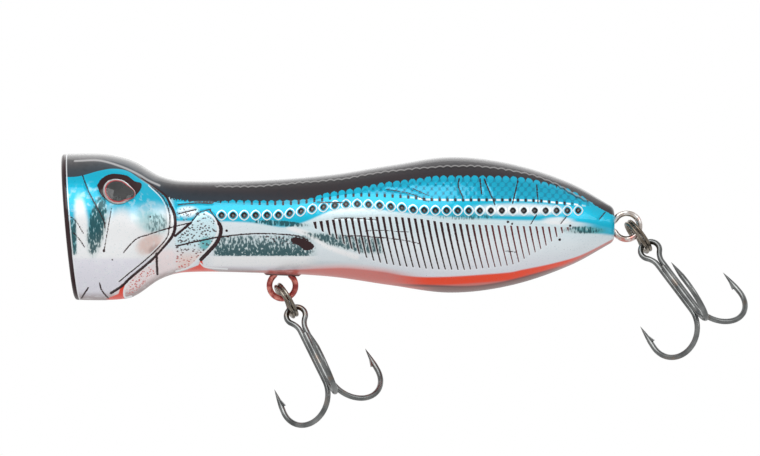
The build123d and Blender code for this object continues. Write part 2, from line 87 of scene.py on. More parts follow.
def outline(s):
    """Top, bottom and half width of the body at each s, by a cubic through OUTLINE."""
    at = np.clip(np.asarray(s, float) / LENGTH, 0, 1)
    x, rows = OUTLINE[:, 0], OUTLINE[:, 1:]
    slope = np.empty_like(rows)
    slope[1:-1] = (rows[2:] - rows[:-2]) / (x[2:] - x[:-2])[:, None]
    slope[0] = (rows[1] - rows[0]) / (x[1] - x[0])
    slope[-1] = (rows[-1] - rows[-2]) / (x[-1] - x[-2])
    i = np.clip(np.searchsorted(x, at, side="right") - 1, 0, len(x) - 2)
    span = (x[i + 1] - x[i])[..., None]
    t = (at - x[i])[..., None] / span
    return (
        rows[i] * (2 * t**3 - 3 * t**2 + 1)
        + slope[i] * span * (t**3 - 2 * t**2 + t)
        + rows[i + 1] * (3 * t**2 - 2 * t**3)
        + slope[i + 1] * span * (t**3 - t**2)
    )


def smooth(edge0, edge1, x):
    """0 below edge0, 1 above edge1, smooth between."""
    t = np.clip((x - edge0) / (edge1 - edge0), 0, 1)
    return t * t * (3 - 2 * t)


def curve(points, steps=8):
    """A dense, rounded line through a few points."""
    p = np.array(points, float)
    p = np.vstack([2 * p[0] - p[1], p, 2 * p[-1] - p[-2]])
    t = np.linspace(0, 1, steps, endpoint=False)[:, None]
    out = []
    for a, b, c, d in zip(p, p[1:], p[2:], p[3:]):
        out.append(0.5 * (2 * b + (c - a) * t + (2 * a - 5 * b + 4 * c - d) * t**2
                          + (3 * b - a - 3 * c + d) * t**3))
    return np.vstack([*out, p[-2:-1]])


def distance(s, z, line):
    """Distance of each (s, z) from a line of points."""
    best = np.full(np.shape(s), 1e9)
    for (ax, az), (bx, bz) in zip(line, line[1:]):
        dx, dz = bx - ax, bz - az
        t = np.clip(((s - ax) * dx + (z - az) * dz) / (dx * dx + dz * dz + 1e-12), 0, 1)
        best = np.minimum(best, np.hypot(s - ax - t * dx, z - az - t * dz))
    return best


def height(s, points):
    """z of a rounded line that runs along the body, at each s."""
    line = curve(points)
    return np.interp(s, line[:, 0], line[:, 1])


def inside(s, z, corners):
    """Signed distance to a closed outline, positive inside."""
    ring = np.vstack([corners, corners[:1]])
    crossed = np.zeros(np.shape(s), bool)
    for (ax, az), (bx, bz) in zip(ring, ring[1:]):
        spans = (az > z) != (bz > z)
        crossed ^= spans & (s < (bx - ax) * (z - az) / (bz - az + 1e-12) + ax)
    return np.where(crossed, 1, -1) * distance(s, z, ring)


# --- Livery ------------------------------------------------------------------------

BACK_EDGE = [(0, 10.6), (4, 10.7), (8.4, 11.9), (11.5, 12.4), (14.6, 11.9), (17.7, 9.9), (20.8, 7.9),
             (23.9, 6.0), (33, 5.0), (51.3, 4.9), (57.4, 6.4), (63.5, 7.4), (70.2, 8.7), (77.8, 9.6),
             (82.2, 10.1), (97.4, 10.0), (103.9, 9.0), (109.4, 7.5), (114.8, 4.8), (120, 2.2)]
TICK_ROW = [(24, 5.2), (43, 4.9), (50, 4.9), (55, 5.5), (60, 6.3), (64, 6.7), (69.3, 6.6), (76, 6.2),
            (80.6, 5.7), (100, 5.6), (107, 5.1), (112, 4.6), (120, 3.4)]
ZIGZAG = [(33, 8.5), (42.4, 8.5), (51.7, 9.3), (61, 10.1), (69.1, 11.5), (81.5, 12.7), (90.8, 12.8),
          (100.2, 11.4), (106.4, 9.4), (111, 6.9), (115.7, 4.6)]
# path of a painted highlight: a light line along the head's shoulder that stands in for the clear coat's
# reflection
PAINTED_HIGHLIGHT_PATH = [(3.1, 14.1), (8.4, 14.2), (13.1, 12.9), (16.5, 11.4), (19.0, 9.9), (21.4, 8.8)]
DOT_ROW = [(20, 2.4), (45.2, 2.4), (49.6, 2.8), (55.4, 3.9), (60.4, 4.6), (64.1, 4.8),
           (69.1, 4.5), (73.9, 4.0), (81.3, 3.4), (120, 3.4)]
DOT_FIRST, DOT_PITCH, DOT_CREEP, DOT_COUNT = 34.9, 2.46, 0.00069, 33
FLANK_EDGE = [(33, 1.1), (42, 0.7), (48.3, -0.2), (52.8, 0.9), (58.9, 3.4), (64.4, 4.0),
              (73.5, 3.0), (81.3, 2.2), (95.2, 1.4), (112, 0.9), (120, -0.6)]
BELLY_EDGE = [(26, -9.7), (44, -9.6), (50, -9.4), (56, -9.2), (62, -9.1), (69.1, -9.8), (73.8, -10.6),
              (78.4, -11.0), (84.6, -10.9), (90.8, -10.5), (97, -10.0), (100, -9.4), (106.4, -8.1),
              (112.6, -6.3), (120, -2.6)]
BELLY_SEAM = [(68, -12.6), (78.4, -12.9), (87.7, -13.2), (93.9, -12.6), (100, -11.2), (108, -9.0)]
RIB_TOP = [(54, 0.8), (57, 1.2), (60, 1.5), (66, 1.9), (70, 2.05), (76.9, 1.65), (85.3, 0.56),
           (97, 0.1), (108.9, -0.2), (112, -0.4)]
RIB_BOTTOM = [(54, -0.1), (57, -1.3), (60.5, -3.2), (65, -6.2), (69.4, -7.9), (76.5, -8.9), (82, -9.3),
              (87.4, -9.4), (91, -9.1), (95.2, -8.7), (98.9, -7.9), (101, -6.5), (103.6, -5.1),
              (105.8, -3.6), (108.2, -1.7), (111, -0.5)]
RIB_PITCH, RIB_LEAN, RIB_CURVE, RIB_FIRST, RIB_LAST = 1.36, 0.178, 0.005, 55.0, 110.4
GILL = [(17.6, 10.3), (20.5, 8.3), (22.7, 6.6), (23.9, 4.5), (24.7, 2.6), (24.9, 0.1), (24.3, -2.1),
        (22.1, -4.9), (19.0, -8.0), (15.3, -11.1), (13.4, -12.9), (10.9, -14.5)]
CHEEK = [(19.5, 8.8), (22.1, 6.3), (23.3, 4.1), (23.8, 1.7), (23.6, -0.8), (23.0, -2.7), (20.8, -5.2),
         (17.7, -8.0), (14.6, -10.5), (12.8, -12.0)]
HEAD = [(-2, 17), (15, 12.4), *GILL, (9, -17), (-2, -17)]
PLATE = [(24.9, -2.1), (28.3, 0.7), (30.2, 2.7), (31.4, 3.0), (33.0, 2.0), (34.1, -0.2), (33.5, -2.7),
         (31.7, -5.2), (29.8, -7.0), (27.7, -8.9), (24.9, -9.8)]
PLATE_REAR = [(32.4, 3.4), (34.1, 1.1), (34.8, -0.8), (34.0, -3.3), (32.1, -5.5), (30.4, -7.2)]
PANEL = [(20.4, -7.9), (20.7, -10.4), (17.7, -13.4), (15.2, -15.2), (13.8, -15.4), (14.0, -13.3),
         (15.9, -10.6), (19.0, -8.5)]
BLOOD = [(49.8, -2.7), (51.1, -2.4), (53.6, -3.2), (54.8, -4.1), (54.5, -4.9), (53.0, -5.2),
         (51.7, -4.3), (50.2, -3.5)]
GASH = [(13.2, -12.6), (15.3, -11.5), (14.0, -13.3), (13.6, -16), (10.9, -16.2), (9.6, -15.8),
        (12.5, -14.6)]
SHOULDER_GASH = [(30.5, -6.5), (29.8, -8.4), (27.0, -9.5), (24, -10.4), (37, -10.6), (33.3, -9.6),
                 (30.9, -8.9)]
EYE_ALMOND = [(8.2, 8.8), (9.3, 10.4), (11.5, 11.3), (14.4, 10.9), (16.2, 9.7), (17.5, 9.3), (17.6, 8.3),
              (16.7, 6.8), (15.2, 5.6), (13.4, 5.0), (11.2, 5.2), (9.2, 6.6)]
SPOTS = [(19.6, 2.0, 0.20), (11.5, -7.2, 0.20), (9.75, -5.3, 0.30), (107.9, -2.9, 0.30),
         (96.7, 0.9, 0.30), (97.6, 0.5, 0.25), (88.6, -3.2, 0.22), (36.0, -1.0, 0.30), (36.3, -2.3, 0.22),
         (110.2, 0.1, 0.28)]
SKIN_LINES = [  # half width at the middle, then the points
    (0.14, [(5.0, 10.9), (6.55, 7.2), (8.4, 3.8), (9.8, 1.0), (10.0, -0.4)]),
    (0.10, [(11.4, 3.8), (10.6, -0.8), (9.8, -5.2)]),
    (0.12, [(1.9, 2.5), (3.8, 1.0), (5.3, -1.5)]),
    (0.13, [(3.1, -1.3), (4.4, -2.7), (5.6, -4.5)]),
    (0.16, [(6.1, -13.3), (4.4, -15.6)]),
    (0.16, [(8.6, -12.3), (9.0, -13.9), (10.2, -15.6)]),
    (0.13, [(28.6, 0.8), (24.0, -0.3), (19.3, -1.8), (16.5, -2.9), (13.9, -5.7)]),
    (0.24, [(20.9, -5.9), (20.9, -10.4)]),
    (0.22, [(21.9, -5.2), (20.6, -6.6), (19.4, -7.8)]),
    (0.26, [(24.9, -2.1), (28.3, 0.7)]),
    (0.12, [(28.3, 0.7), (30.0, 2.8), (31.4, 3.4), (32.6, 3.6)]),
    (0.16, [(25.2, -4.3), (29.0, -3.4), (34.0, -2.4)]),
    (0.14, [(34.0, -2.4), (39.2, -1.8), (44.0, -1.6), (48.6, -1.8), (51.7, -2.2), (53.6, -3.0)]),
    (0.11, [(59.2, 1.65), (63.0, 1.75), (68.2, 1.35)]),
    (0.11, [(66.0, -1.0), (70.0, -0.95), (75.3, -1.3)]),
    (0.12, [(61.0, -2.1), (66.0, -2.2), (73.4, -2.9), (77.8, -3.8)]),
    (0.15, [(86.2, 10.3), (86.0, 8.6), (87.0, 6.2)]),
    (0.15, [(90.7, 10.2), (91.0, 7.0)]),
    (0.15, [(91.6, 10.2), (93.9, 4.6)]),
    (0.14, [(98.9, 9.8), (97.7, 4.9)]),
    (0.14, [(103.0, 8.9), (103.2, 5.0)]),
    (0.11, [(102.9, 2.5), (101.6, 0.4)]),
    (0.11, [(109.5, 2.2), (108.1, 0.5)]),
    (0.12, [(117.9, 3.0), (116.6, 1.5)]),
    (0.12, [(55.6, 5.2), (61.0, 5.1)]),
    (0.12, [(70.5, 8.0), (76.0, 6.9), (79.6, 5.2)]),
    (0.12, [(76.0, 8.2), (79.6, 6.6)]),
    (0.13, [(25.5, 4.6), (29.2, 5.0), (32.8, 4.9)]),
    (0.12, [(25.5, 2.6), (29.4, 3.6)]),
    (0.12, [(96.2, -5.4), (98.4, -5.6)]),
]
WHITE_INK = (0.93, 0.96, 0.98, 1)
LINEN = np.array([0.82, 0.89, 0.93])
WHITE = np.array([0.97, 0.98, 0.99])
LAVENDER = np.array([0.78, 0.77, 0.84])
PALE_CYAN = np.array([0.66, 0.88, 0.94])
CYAN = np.array([0.00, 0.50, 0.72])
DEEP_CYAN = np.array([0.00, 0.38, 0.58])
TEAL = np.array([0.05, 0.42, 0.46])
RED = np.array([0.96, 0.085, 0.035])
PINK = np.array([0.86, 0.27, 0.24])
ROSE = np.array([0.80, 0.58, 0.52])
TAUPE = np.array([0.27, 0.17, 0.16])
BROWN = (0.026, 0.004, 0.006, 1)
CHARCOAL = (0.034, 0.027, 0.031, 1)


def lay(base, colour, mask):
    """base with a colour laid over it where mask is 1."""
    return base + (colour - base) * np.clip(mask, 0, 1)[..., None]


def blot(s, z, centre, size, turn=0.0):
    """1 at the centre of a soft oval, 0 outside it."""
    c, n = math.cos(math.radians(turn)), math.sin(math.radians(turn))
    ds, dz = s - centre[0], z - centre[1]
    u, v = (ds * c + dz * n) / size[0], (dz * c - ds * n) / size[1]
    return 1 - smooth(0.45, 1.0, np.hypot(u, v))


def face_wash(s, z):
    """The soft colours of the head's foil and the reflections painted on it."""
    # painted reflection: the head is lavender low down and turns white above a level line, the studio's
    # reflection banding in the foil
    face = np.ones(np.shape(s) + (3,)) * LAVENDER * 1.10
    face = lay(face, WHITE, smooth(-7.6, -6.4, z))
    face = lay(face, CYAN, smooth(-0.5, 5.2, z - 0.16 * np.abs(s - 14) + 2.4 * (s < 9)))
    face = lay(face, CYAN, 0.9 * smooth(4.2, 3.2, s) * smooth(-6.2, -3.5, z))
    face = lay(face, TEAL * 0.9, 0.75 * smooth(4.0, 3.4, s) * smooth(-6.4, -5.4, z) * smooth(1.5, -2.5, z))
    face = lay(face, CYAN * 0.9, 0.9 * blot(s, z, (8.0, 2.5), (2.6, 7.4), -8))
    face = lay(face, TEAL * 1.3, 0.45 * blot(s, z, (19.8, 1.0), (4.6, 3.2), -20))
    # painted highlight: a tall white streak near the front of the head
    face = lay(face, WHITE, 0.97 * blot(s, z, (5.0, 0.4), (1.9, 7.6), 6))
    face = lay(face, WHITE, 0.97 * blot(s, z, (13.0, -1.2), (3.4, 6.2), -12))
    face = lay(face, ROSE, 0.85 * blot(s, z, (19.6, -3.9), (4.0, 2.8), 30))
    face = lay(face, TAUPE, 0.45 * blot(s, z, (20.4, -5.0), (1.8, 1.2), 40))
    face = lay(face, CYAN, 0.9 * smooth(1.2, 0.4, np.abs(z - height(s, BACK_EDGE) + 1.1)) * (s > 7))
    return face


def belly_wash(s, z, paint):
    """The red belly, its dark seam and the dull underside, laid over paint."""
    belly = height(s, BELLY_EDGE)
    _, bottom, _ = np.moveaxis(outline(s), -1, 0)
    red = smooth(-0.15, 0.2, belly - z)
    glow = smooth(70, 80, s) * smooth(117, 108, s)
    soft = smooth(-1.4, 0.6, belly - z) * smooth(48, 58, s) * smooth(80, 70, s)
    paint = lay(paint, PINK, 0.9 * soft)
    paint = lay(paint, PINK * 0.86, red * smooth(24, 34, s))
    paint = lay(paint, RED, red * glow * smooth(2.0, 1.5, belly - z))
    stripe = 1 - smooth(0.05, 0.45, np.abs(z - height(s, BELLY_SEAM)))
    paint = lay(paint, TAUPE * 0.45, 0.85 * stripe * smooth(70, 80, s) * smooth(112, 104, s))
    low = smooth(-0.1, 0.4, height(s, BELLY_SEAM) - z)
    paint = lay(paint, TAUPE, 0.9 * low * smooth(74, 84, s))
    # darker towards the bottom edge of the section, ahead of and behind the middle of the belly
    seam = smooth(0.86, 0.99, (-z) / bottom)
    ends = np.maximum(smooth(47, 40, s), smooth(76, 84, s))
    paint = lay(paint, TAUPE, 0.8 * seam * smooth(1.4, 3, s) * ends)
    return paint


def wash(s, z):
    """The soft colours of the foil, with some painted highlights and reflections: the flank, the shoulder,
    the head, the belly.
    """
    flank = height(s, FLANK_EDGE)
    paint = np.ones(np.shape(s) + (3,)) * LINEN
    paint = lay(paint, PALE_CYAN, 0.55 * smooth(36, 50, s) * smooth(-4.5, 0.5, z))
    paint = lay(paint, LAVENDER, 0.55 * smooth(-4, -9, z) * smooth(62, 75, s))
    paint = lay(paint, WHITE, smooth(30, 34, s) * smooth(57, 52, s) * smooth(-6.2, -6.8, z))
    paint = lay(paint, LAVENDER, 0.8 * smooth(30, 36, s) * smooth(60, 50, s) * smooth(-8.2, -9.2, z))
    # painted highlight: a white diagonal streak along the edge of the hip
    streak = distance(s, z, curve([(49.5, -0.3), (54.5, -2.2), (58.2, -4.6), (64, -6.6)]))
    paint = lay(paint, WHITE, 1 - smooth(0.2, 0.9, streak))
    paint = lay(paint, CYAN, smooth(-0.25, 0.25, z - flank) * smooth(23, 25, s))
    upper = z - height(s, TICK_ROW)
    paint = lay(paint, DEEP_CYAN, 0.6 * smooth(0.1, 0.6, upper) * smooth(60, 72, s))
    paint = lay(paint, WHITE, 0.8 * blot(s, z, (99, 3.6), (13, 1.7)))
    paint = lay(paint, CYAN * 1.25, 0.8 * blot(s, z, (113, 3.0), (6, 2.5), -14))
    paint = lay(paint, CYAN, 0.95 * smooth(111, 116.5, s) * smooth(-1.9, -1.1, z + 0.14 * (s - 116)))
    paint = lay(paint, WHITE, 0.85 * blot(s, z, (107.5, 1.1), (4.5, 1.1)))
    paint = lay(paint, TEAL, 0.8 * blot(s, z, (114.5, -0.9), (4.6, 0.9), -4))
    shoulder = smooth(24.5, 25.5, s) * smooth(0.2, -0.2, -inside(s, z, np.array([*PLATE, (24, -10)])))
    paint = lay(paint, PALE_CYAN * 1.04, 0.9 * shoulder * smooth(-5.5, -3.5, z))
    paint = lay(paint, ROSE * 1.22, 0.75 * shoulder * smooth(-4.5, -7.5, z))
    paint = lay(paint, TEAL * 1.1, 0.85 * blot(s, z, (31.4, -3.8), (2.0, 1.8), 40) * shoulder)
    paint = lay(paint, WHITE, 0.75 * blot(s, z, (27.6, 3.1), (3.0, 1.6)))
    cheek = inside(s, z, np.array(HEAD))
    paint = lay(paint, face_wash(s, z), smooth(-0.15, 0.15, cheek))
    chin = smooth(0.3, -0.3, cheek) * smooth(26.5, 24.0, s) * smooth(-4.0, -6.0, z)
    paint = lay(paint, WHITE * [1.0, 0.87, 0.87], chin)
    return belly_wash(s, z, paint)


def fibres(s, z):
    """Where the foil shows dark crinkled fibres."""
    band = smooth(32.5, 34.5, s) * smooth(56.5, 52, s) * smooth(-6.6, -6.2, z)
    band = band * smooth(-1.6, -2.4, z) * (0.45 + 0.55 * smooth(-2.5, -5.8, z))
    hip = np.array([(52, -1.2), (58, -1.4), (69, -2.4), (70.5, -6.0), (65, -6.0), (58, -4.2)])
    patch = 0.75 * smooth(-0.3, 0.8, inside(s, z, hip))
    head = 0.95 * blot(s, z, (8.3, 0.2), (2.4, 8.2), -9)
    edge = 0.8 * smooth(4.2, 3.4, s) * smooth(2.2, 0.5, z) * smooth(-6.6, -5.6, z)
    under = 0.75 * blot(s, z, (47.5, 0.6), (8, 0.8), -4)
    tail = 0.55 * blot(s, z, (113, -0.8), (6, 1.1), 0) + 0.4 * blot(s, z, (88, 2.0), (9, 0.9))
    gill = 0.35 * blot(s, z, (21, 0.5), (3.4, 3.4))
    return np.clip(band + patch + head + edge + under + tail + gill, 0, 1)


def speckles(s, z):
    """Where the foil is speckled."""
    plate = smooth(-0.3, 0.3, inside(s, z, np.array(PLATE)))
    panel = smooth(0.2, 0.5, inside(s, z, np.array(PANEL)))
    behind = smooth(25, 25.6, s) * smooth(30, 27.5, s) * smooth(-9.6, -9.0, z) * smooth(-2.2, -3.0, z)
    blood = 0.8 * blot(s, z, (47.5, -3.0), (6.5, 1.2), -8)
    above = 0.6 * blot(s, z, (28, 2.6), (4.5, 2.4))
    return np.clip(plate + panel + 0.8 * behind + blood + above, 0, 1)


def lines(s, z):
    """(dark, white, red): distance outside the printed dark and red marks and the painted white highlight
    lines, in mm, negative within one.
    """
    dark = np.full(np.shape(s), 9.0)
    for half, points in SKIN_LINES:
        dark = np.minimum(dark, distance(s, z, curve(points)) - half)
    swell = 0.17 + 0.16 * smooth(8, 2, np.abs(z - 1)) + 0.10 * smooth(-5, -9, z)
    dark = np.minimum(dark, distance(s, z, curve(GILL)) - swell)
    dark = np.minimum(dark, distance(s, z, curve(CHEEK)) - 0.12)
    rear = distance(s, z, curve(PLATE_REAR))
    dark = np.minimum(dark, rear - 0.14 - 0.26 * smooth(1.8, 0.2, z))
    for corners in (BLOOD, EYE_ALMOND):
        dark = np.minimum(dark, -inside(s, z, curve([*corners, corners[0]])))
    for at_s, at_z, size in SPOTS:
        dark = np.minimum(dark, np.hypot(s - at_s, z - at_z) - size)
    # white: painted highlight lines beside the raised dark lines of the plate, the panel and the gill cover
    white = distance(s, z, curve(PLATE[3:])) - 0.20
    white = np.minimum(white, distance(s, z, curve([*PANEL[3:], PANEL[0]])) - 0.20)
    white = np.minimum(white, distance(s, z, curve([(30.2, -8.0), (31.5, -8.9), (36, -9.3)])) - 0.16)
    white = np.minimum(white, distance(s + 0.42, z, curve(CHEEK)) - 0.10)
    red = -np.maximum(inside(s, z, np.array(GASH)), inside(s, z, np.array(SHOULDER_GASH)))
    return dark, white, red


def ribs(s, z):
    """(distance outside the flank's rib marks, beyond their ends, how far up them), in mm."""
    top, low = height(s, RIB_TOP), height(s, RIB_BOTTOM)
    along = (s + RIB_LEAN * (z - 1.0) - RIB_CURVE * (z - 1.0) ** 2 - RIB_FIRST) / RIB_PITCH
    across = np.abs(along - np.round(along)) * RIB_PITCH
    share = np.clip((z - low) / np.maximum(top - low, 0.3), 0, 1)
    ends = np.maximum(z - top, low - z)
    ends = np.maximum(ends, np.maximum(RIB_FIRST - 0.6 - s, s - RIB_LAST))
    return np.maximum(across - 0.2, ends), ends, share


SCALE_LONG, SCALE_TALL, SCALE_RADIUS = 1.69, 0.95, 0.72
SCALLOP_RADIUS = 0.8


def scales(s, z):
    """(distance from the nearest scale's centre, how strongly the scales show)."""
    u, v = s / SCALE_LONG, (z - height(s, TICK_ROW)) / SCALE_TALL
    near = np.full(np.shape(s), 9.0)
    for du, dv in ((0.0, 0.5), (0.5, 1.5)):
        a = (u + du - np.round(u + du)) * SCALE_LONG
        b = ((v - dv) / 2 - np.round((v - dv) / 2)) * 2 * SCALE_TALL
        near = np.minimum(near, np.hypot(a, b))
    window = smooth(-0.2, 0.2, v) * smooth(38, 44, s) * smooth(117, 113, s)
    window = window * smooth(0.5, -0.3, z - height(s, BACK_EDGE))
    return near, window


def relief(s, z):
    """How far the skin stands proud of the body's form, in mm."""
    dark, white, _ = lines(s, z)
    up = -0.10 * (1 - smooth(-0.15, 0.35, dark))
    up = up + 0.06 * (1 - smooth(0.0, 0.4, white))
    up = up - 0.10 * (1 - smooth(-0.1, 0.3, ribs(s, z)[0]))
    along = (s - DOT_FIRST) / DOT_PITCH
    along = along + DOT_CREEP * along**2
    near = np.abs(along - np.clip(np.round(along), 0, DOT_COUNT - 1)) * DOT_PITCH
    dot = np.hypot(near, z - height(s, DOT_ROW))
    up = up + 0.12 * (1 - smooth(0.75, 1.1, dot)) - 0.10 * (1 - smooth(0.3, 0.75, dot))
    near, window = scales(s, z)
    up = up + 0.09 * window * smooth(0.95, 0.55, near) - 0.04 * window
    gill = distance(s, z, curve(GILL))
    outside = smooth(0.1, -0.1, inside(s, z, np.array(HEAD)))
    return up - 0.12 * outside * (1 - smooth(0.2, 3.0, gill)) * smooth(27, 25, s)


def zigzag(s):
    """The scalloped wave of the line along the back."""
    return 0.26 * np.abs(np.sin(np.pi * s / SCALE_LONG)) * (1 + 0.2 * np.sin(s))


# --- Meshes ------------------------------------------------------------------------

ACROSS = 150
BODY_ROWS = 520
SHARP_ANGLE = 38.0
BOSS = (47.9, 3.7, 1.5, 0.45)  # place, half length, half width and height of the belly pad


def section_rows():
    """Rows of the skin's grid from the middle of the cup to the middle of the tail, as
    (kind, amount)."""
    rows = [("cup", a) for a in np.linspace(90, 0, 26)]
    rows += [("rim", a) for a in (0.35, 0.7, 1.0)]
    rows += [("body", LIP_ROUND * (1 - math.cos(a))) for a in np.radians(np.linspace(12, 90, 7))]
    rows += [("body", a) for a in np.linspace(LIP_ROUND, LENGTH - TAIL_ROUND, BODY_ROWS)[1:]]
    rows += [("body", LENGTH - TAIL_ROUND * (1 - math.sin(a)))
             for a in np.radians(np.linspace(12, 90, 7))]
    return rows + [("end", a) for a in (0.7, 0.35, 0.0)]


def face_s(z):
    """s of the leaning mouth's face at height z."""
    return (HEAD_TOP - z) * FACE_SLOPE


def ring(s, turn, inset):
    """(y, z) round the left half of the body's section at s, inset by a distance."""
    top, bottom, side = np.moveaxis(outline(s), -1, 0)
    half, middle = (top + bottom) / 2, (top - bottom) / 2
    return -(side - inset) * np.cos(turn), middle + (half - inset) * np.sin(turn)


def skin_grid():
    """(s, y, z, is body) of every vertex of the left skin."""
    turn = np.linspace(-math.pi / 2, math.pi / 2, ACROSS + 1)
    _, lip_z = ring(np.zeros_like(turn), turn, 0)
    start = face_s(lip_z)
    edge_y, edge_z = ring(start, turn, LIP_ROUND)
    rim_y, rim_z = -CUP_RADIUS * np.cos(turn), CUP_RADIUS * np.sin(turn)
    rows = []
    for kind, amount in section_rows():
        if kind == "cup":
            a = math.radians(amount)
            y, z = rim_y * math.cos(a), rim_z * math.cos(a)
            s = face_s(z) + CUP_DEPTH * math.sin(a)
        elif kind == "rim":
            y = rim_y + (edge_y - rim_y) * amount
            z = rim_z + (edge_z - rim_z) * amount
            s = face_s(z)
        elif kind == "body":
            s = start + amount * (LENGTH - start) / LENGTH
            front = np.clip(LIP_ROUND - amount, 0, LIP_ROUND)
            back = np.clip(amount - LENGTH + TAIL_ROUND, 0, TAIL_ROUND)
            inset = LIP_ROUND - math.sqrt(LIP_ROUND**2 - front**2)
            inset += TAIL_ROUND - math.sqrt(max(TAIL_ROUND**2 - back**2, 0))
            y, z = ring(s, turn, inset)
        else:
            s = np.full_like(turn, LENGTH)
            y, z = ring(s, turn, TAIL_ROUND)
            middle = z.mean()
            y, z = y * amount, middle + (z - middle) * amount
        rows.append(np.stack([s, y, z, np.full_like(s, kind == "body")], -1))
    return np.array(rows)


def displaced(grid):
    """The grid's points with the relief and the belly pad raised along their normals."""
    p = grid[..., :3].copy()
    normal = np.cross(np.gradient(p, axis=0), np.gradient(p, axis=1))
    size = np.linalg.norm(normal, axis=-1, keepdims=True)
    normal = normal / np.maximum(size, 1e-9)
    s, y, z = p[..., 0], p[..., 1], p[..., 2]
    body = (grid[..., 3] > 0) * smooth(1.2, 2.2, s - face_s(z)) * smooth(LENGTH - 1, LENGTH - 3, s)
    up = relief(s, z) * body
    pad = np.hypot((s - BOSS[0]) / BOSS[1], y / BOSS[2])
    up = up + BOSS[3] * smooth(1.12, 0.95, pad) * (z < 0)
    if normal[BODY_ROWS // 2, ACROSS // 2, 1] > 0:
        normal = -normal
    normal[:, 0, 1] = 0
    normal[:, -1, 1] = 0
    return p + normal * up[..., None]


def cavity_grid():
    """Points of the hollow inside the left half, closed at both ends."""
    turn = np.linspace(-math.pi / 2, math.pi / 2, 25)
    rows = []
    stations = np.linspace(CAVITY[0] + CUP_DEPTH * 0.25, CAVITY[1], 40)
    for k, s in enumerate([stations[0], *stations, stations[-1]]):
        y, z = ring(np.full_like(turn, s), turn, WALL)
        if k in (0, len(stations) + 1):
            y, z = y * 0, z * 0 + z.mean()
        rows.append(np.stack([np.full_like(turn, s), y, z], -1))
    return np.array(rows)


def add_grid(mesh, points, flip):
    """Adds a grid of points to a bmesh and returns its vertices, row by row."""
    verts = [[mesh.verts.new(((s + LIP_X) * MM, y * MM, z * MM)) for s, y, z in row]
             for row in points]
    for a, b in zip(verts, verts[1:]):
        for i in range(len(a) - 1):
            corners = (a[i], b[i], b[i + 1], a[i + 1])
            mesh.faces.new(corners[::-1] if flip else corners)
    return verts


def loop_edges(mesh, verts):
    """The edges along both straight sides of a grid."""
    found = []
    for column in (0, -1):
        line = [row[column] for row in verts]
        found += [mesh.edges.get(ends) for ends in zip(line, line[1:])]
    return [e for e in found if e is not None]


def store(data, name, values):
    """Writes a four-channel attribute of the mesh's points."""
    layer = data.attributes.new(name, "FLOAT_COLOR", "POINT")
    layer.data.foreach_set("color", np.asarray(values, np.float32).ravel())


def paint_attributes(data):
    """Stores the livery on the mesh's points."""
    co = np.zeros(len(data.vertices) * 3, np.float32)
    data.vertices.foreach_get("co", co)
    co = co.reshape(-1, 3).astype(float) / MM
    s, y, z = co[:, 0] - LIP_X, co[:, 1], co[:, 2]
    colour = wash(s, z)
    pad = np.hypot((s - BOSS[0]) / BOSS[1], y / BOSS[2])
    colour = lay(colour, TAUPE * 0.35, smooth(1.15, 1.0, pad) * (z < 0))
    dark, white, red = lines(s, z)
    near, window = scales(s, z)
    back = z - height(s, BACK_EDGE)
    rim = 1.0 - (s - face_s(z))
    reach = np.hypot(y, z) / (CUP_RADIUS + 0.5)
    floor = face_s(z) + CUP_DEPTH * np.sqrt(np.clip(1 - reach**2, 0, 1)) + 0.3
    cup = ((reach < 1) & (s < floor)).astype(float)
    # distance from the painted highlight line on the head's shoulder
    shine = distance(s, z, curve(PAINTED_HIGHLIGHT_PATH))
    store(data, "wash", np.column_stack([colour, cup]))
    _, rib_ends, rib_share = ribs(s, z)
    store(data, "ink", np.column_stack([back, dark, white, rib_ends]))
    store(data, "net", np.column_stack([z - height(s, DOT_ROW), near, window, fibres(s, z)]))
    store(data, "spot", np.column_stack([speckles(s, z), rim, z - height(s, ZIGZAG) - zigzag(s), shine]))
    store(data, "mark", np.column_stack([red, z - height(s, TICK_ROW), rib_share, np.ones_like(s)]))


def add_piece(name, mesh, body, node):
    """Turns a bmesh into a smooth object that rides a body in place of a CAD node."""
    bmesh.ops.remove_doubles(mesh, verts=mesh.verts, dist=0.001 * MM)
    bmesh.ops.recalc_face_normals(mesh, faces=mesh.faces)
    data = bpy.data.meshes.new(name)
    mesh.to_mesh(data)
    mesh.free()
    data.shade_smooth()
    data.set_sharp_from_angle(angle=math.radians(SHARP_ANGLE))
    piece = bpy.data.objects.new(name, data)
    bpy.context.scene.collection.objects.link(piece)
    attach(piece, body)
    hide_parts(node)
    return piece


def shell(side, mirrored):
    """One painted half of the body, hollow, with its relief."""
    points = displaced(skin_grid())
    hollow = cavity_grid()
    if mirrored:
        points[..., 1] *= -1
        hollow[..., 1] *= -1
    mesh = bmesh.new()
    outer = add_grid(mesh, points, mirrored)
    inner = add_grid(mesh, hollow, not mirrored)
    seam = loop_edges(mesh, outer) + loop_edges(mesh, inner)
    bmesh.ops.triangle_fill(mesh, edges=seam, use_beauty=True)
    piece = add_piece(f"painted_shell_{side}", mesh, "lure_body", f"shell_{side}")
    paint_attributes(piece.data)
    return piece


EYE_AT, EYE_UP = 13.8, 31.0
EYE_LARGE, EYE_SMALL, EYE_SPREAD = 3.15, 1.5, 2.5
EYE_RINGS = 26
SEARCH = 3.0                    # how far from the head the eye's points may start, mm
DOME_BASE, DOME_RISE = 0.14, 0.46


def side_point(s, angle):
    """The point of the body's left side at s, angle degrees up from level."""
    top, bottom, side = outline(s)
    turn = math.radians(angle)
    return np.array([s, -side * math.cos(turn), (top - bottom) / 2 + (top + bottom) / 2 * math.sin(turn)])


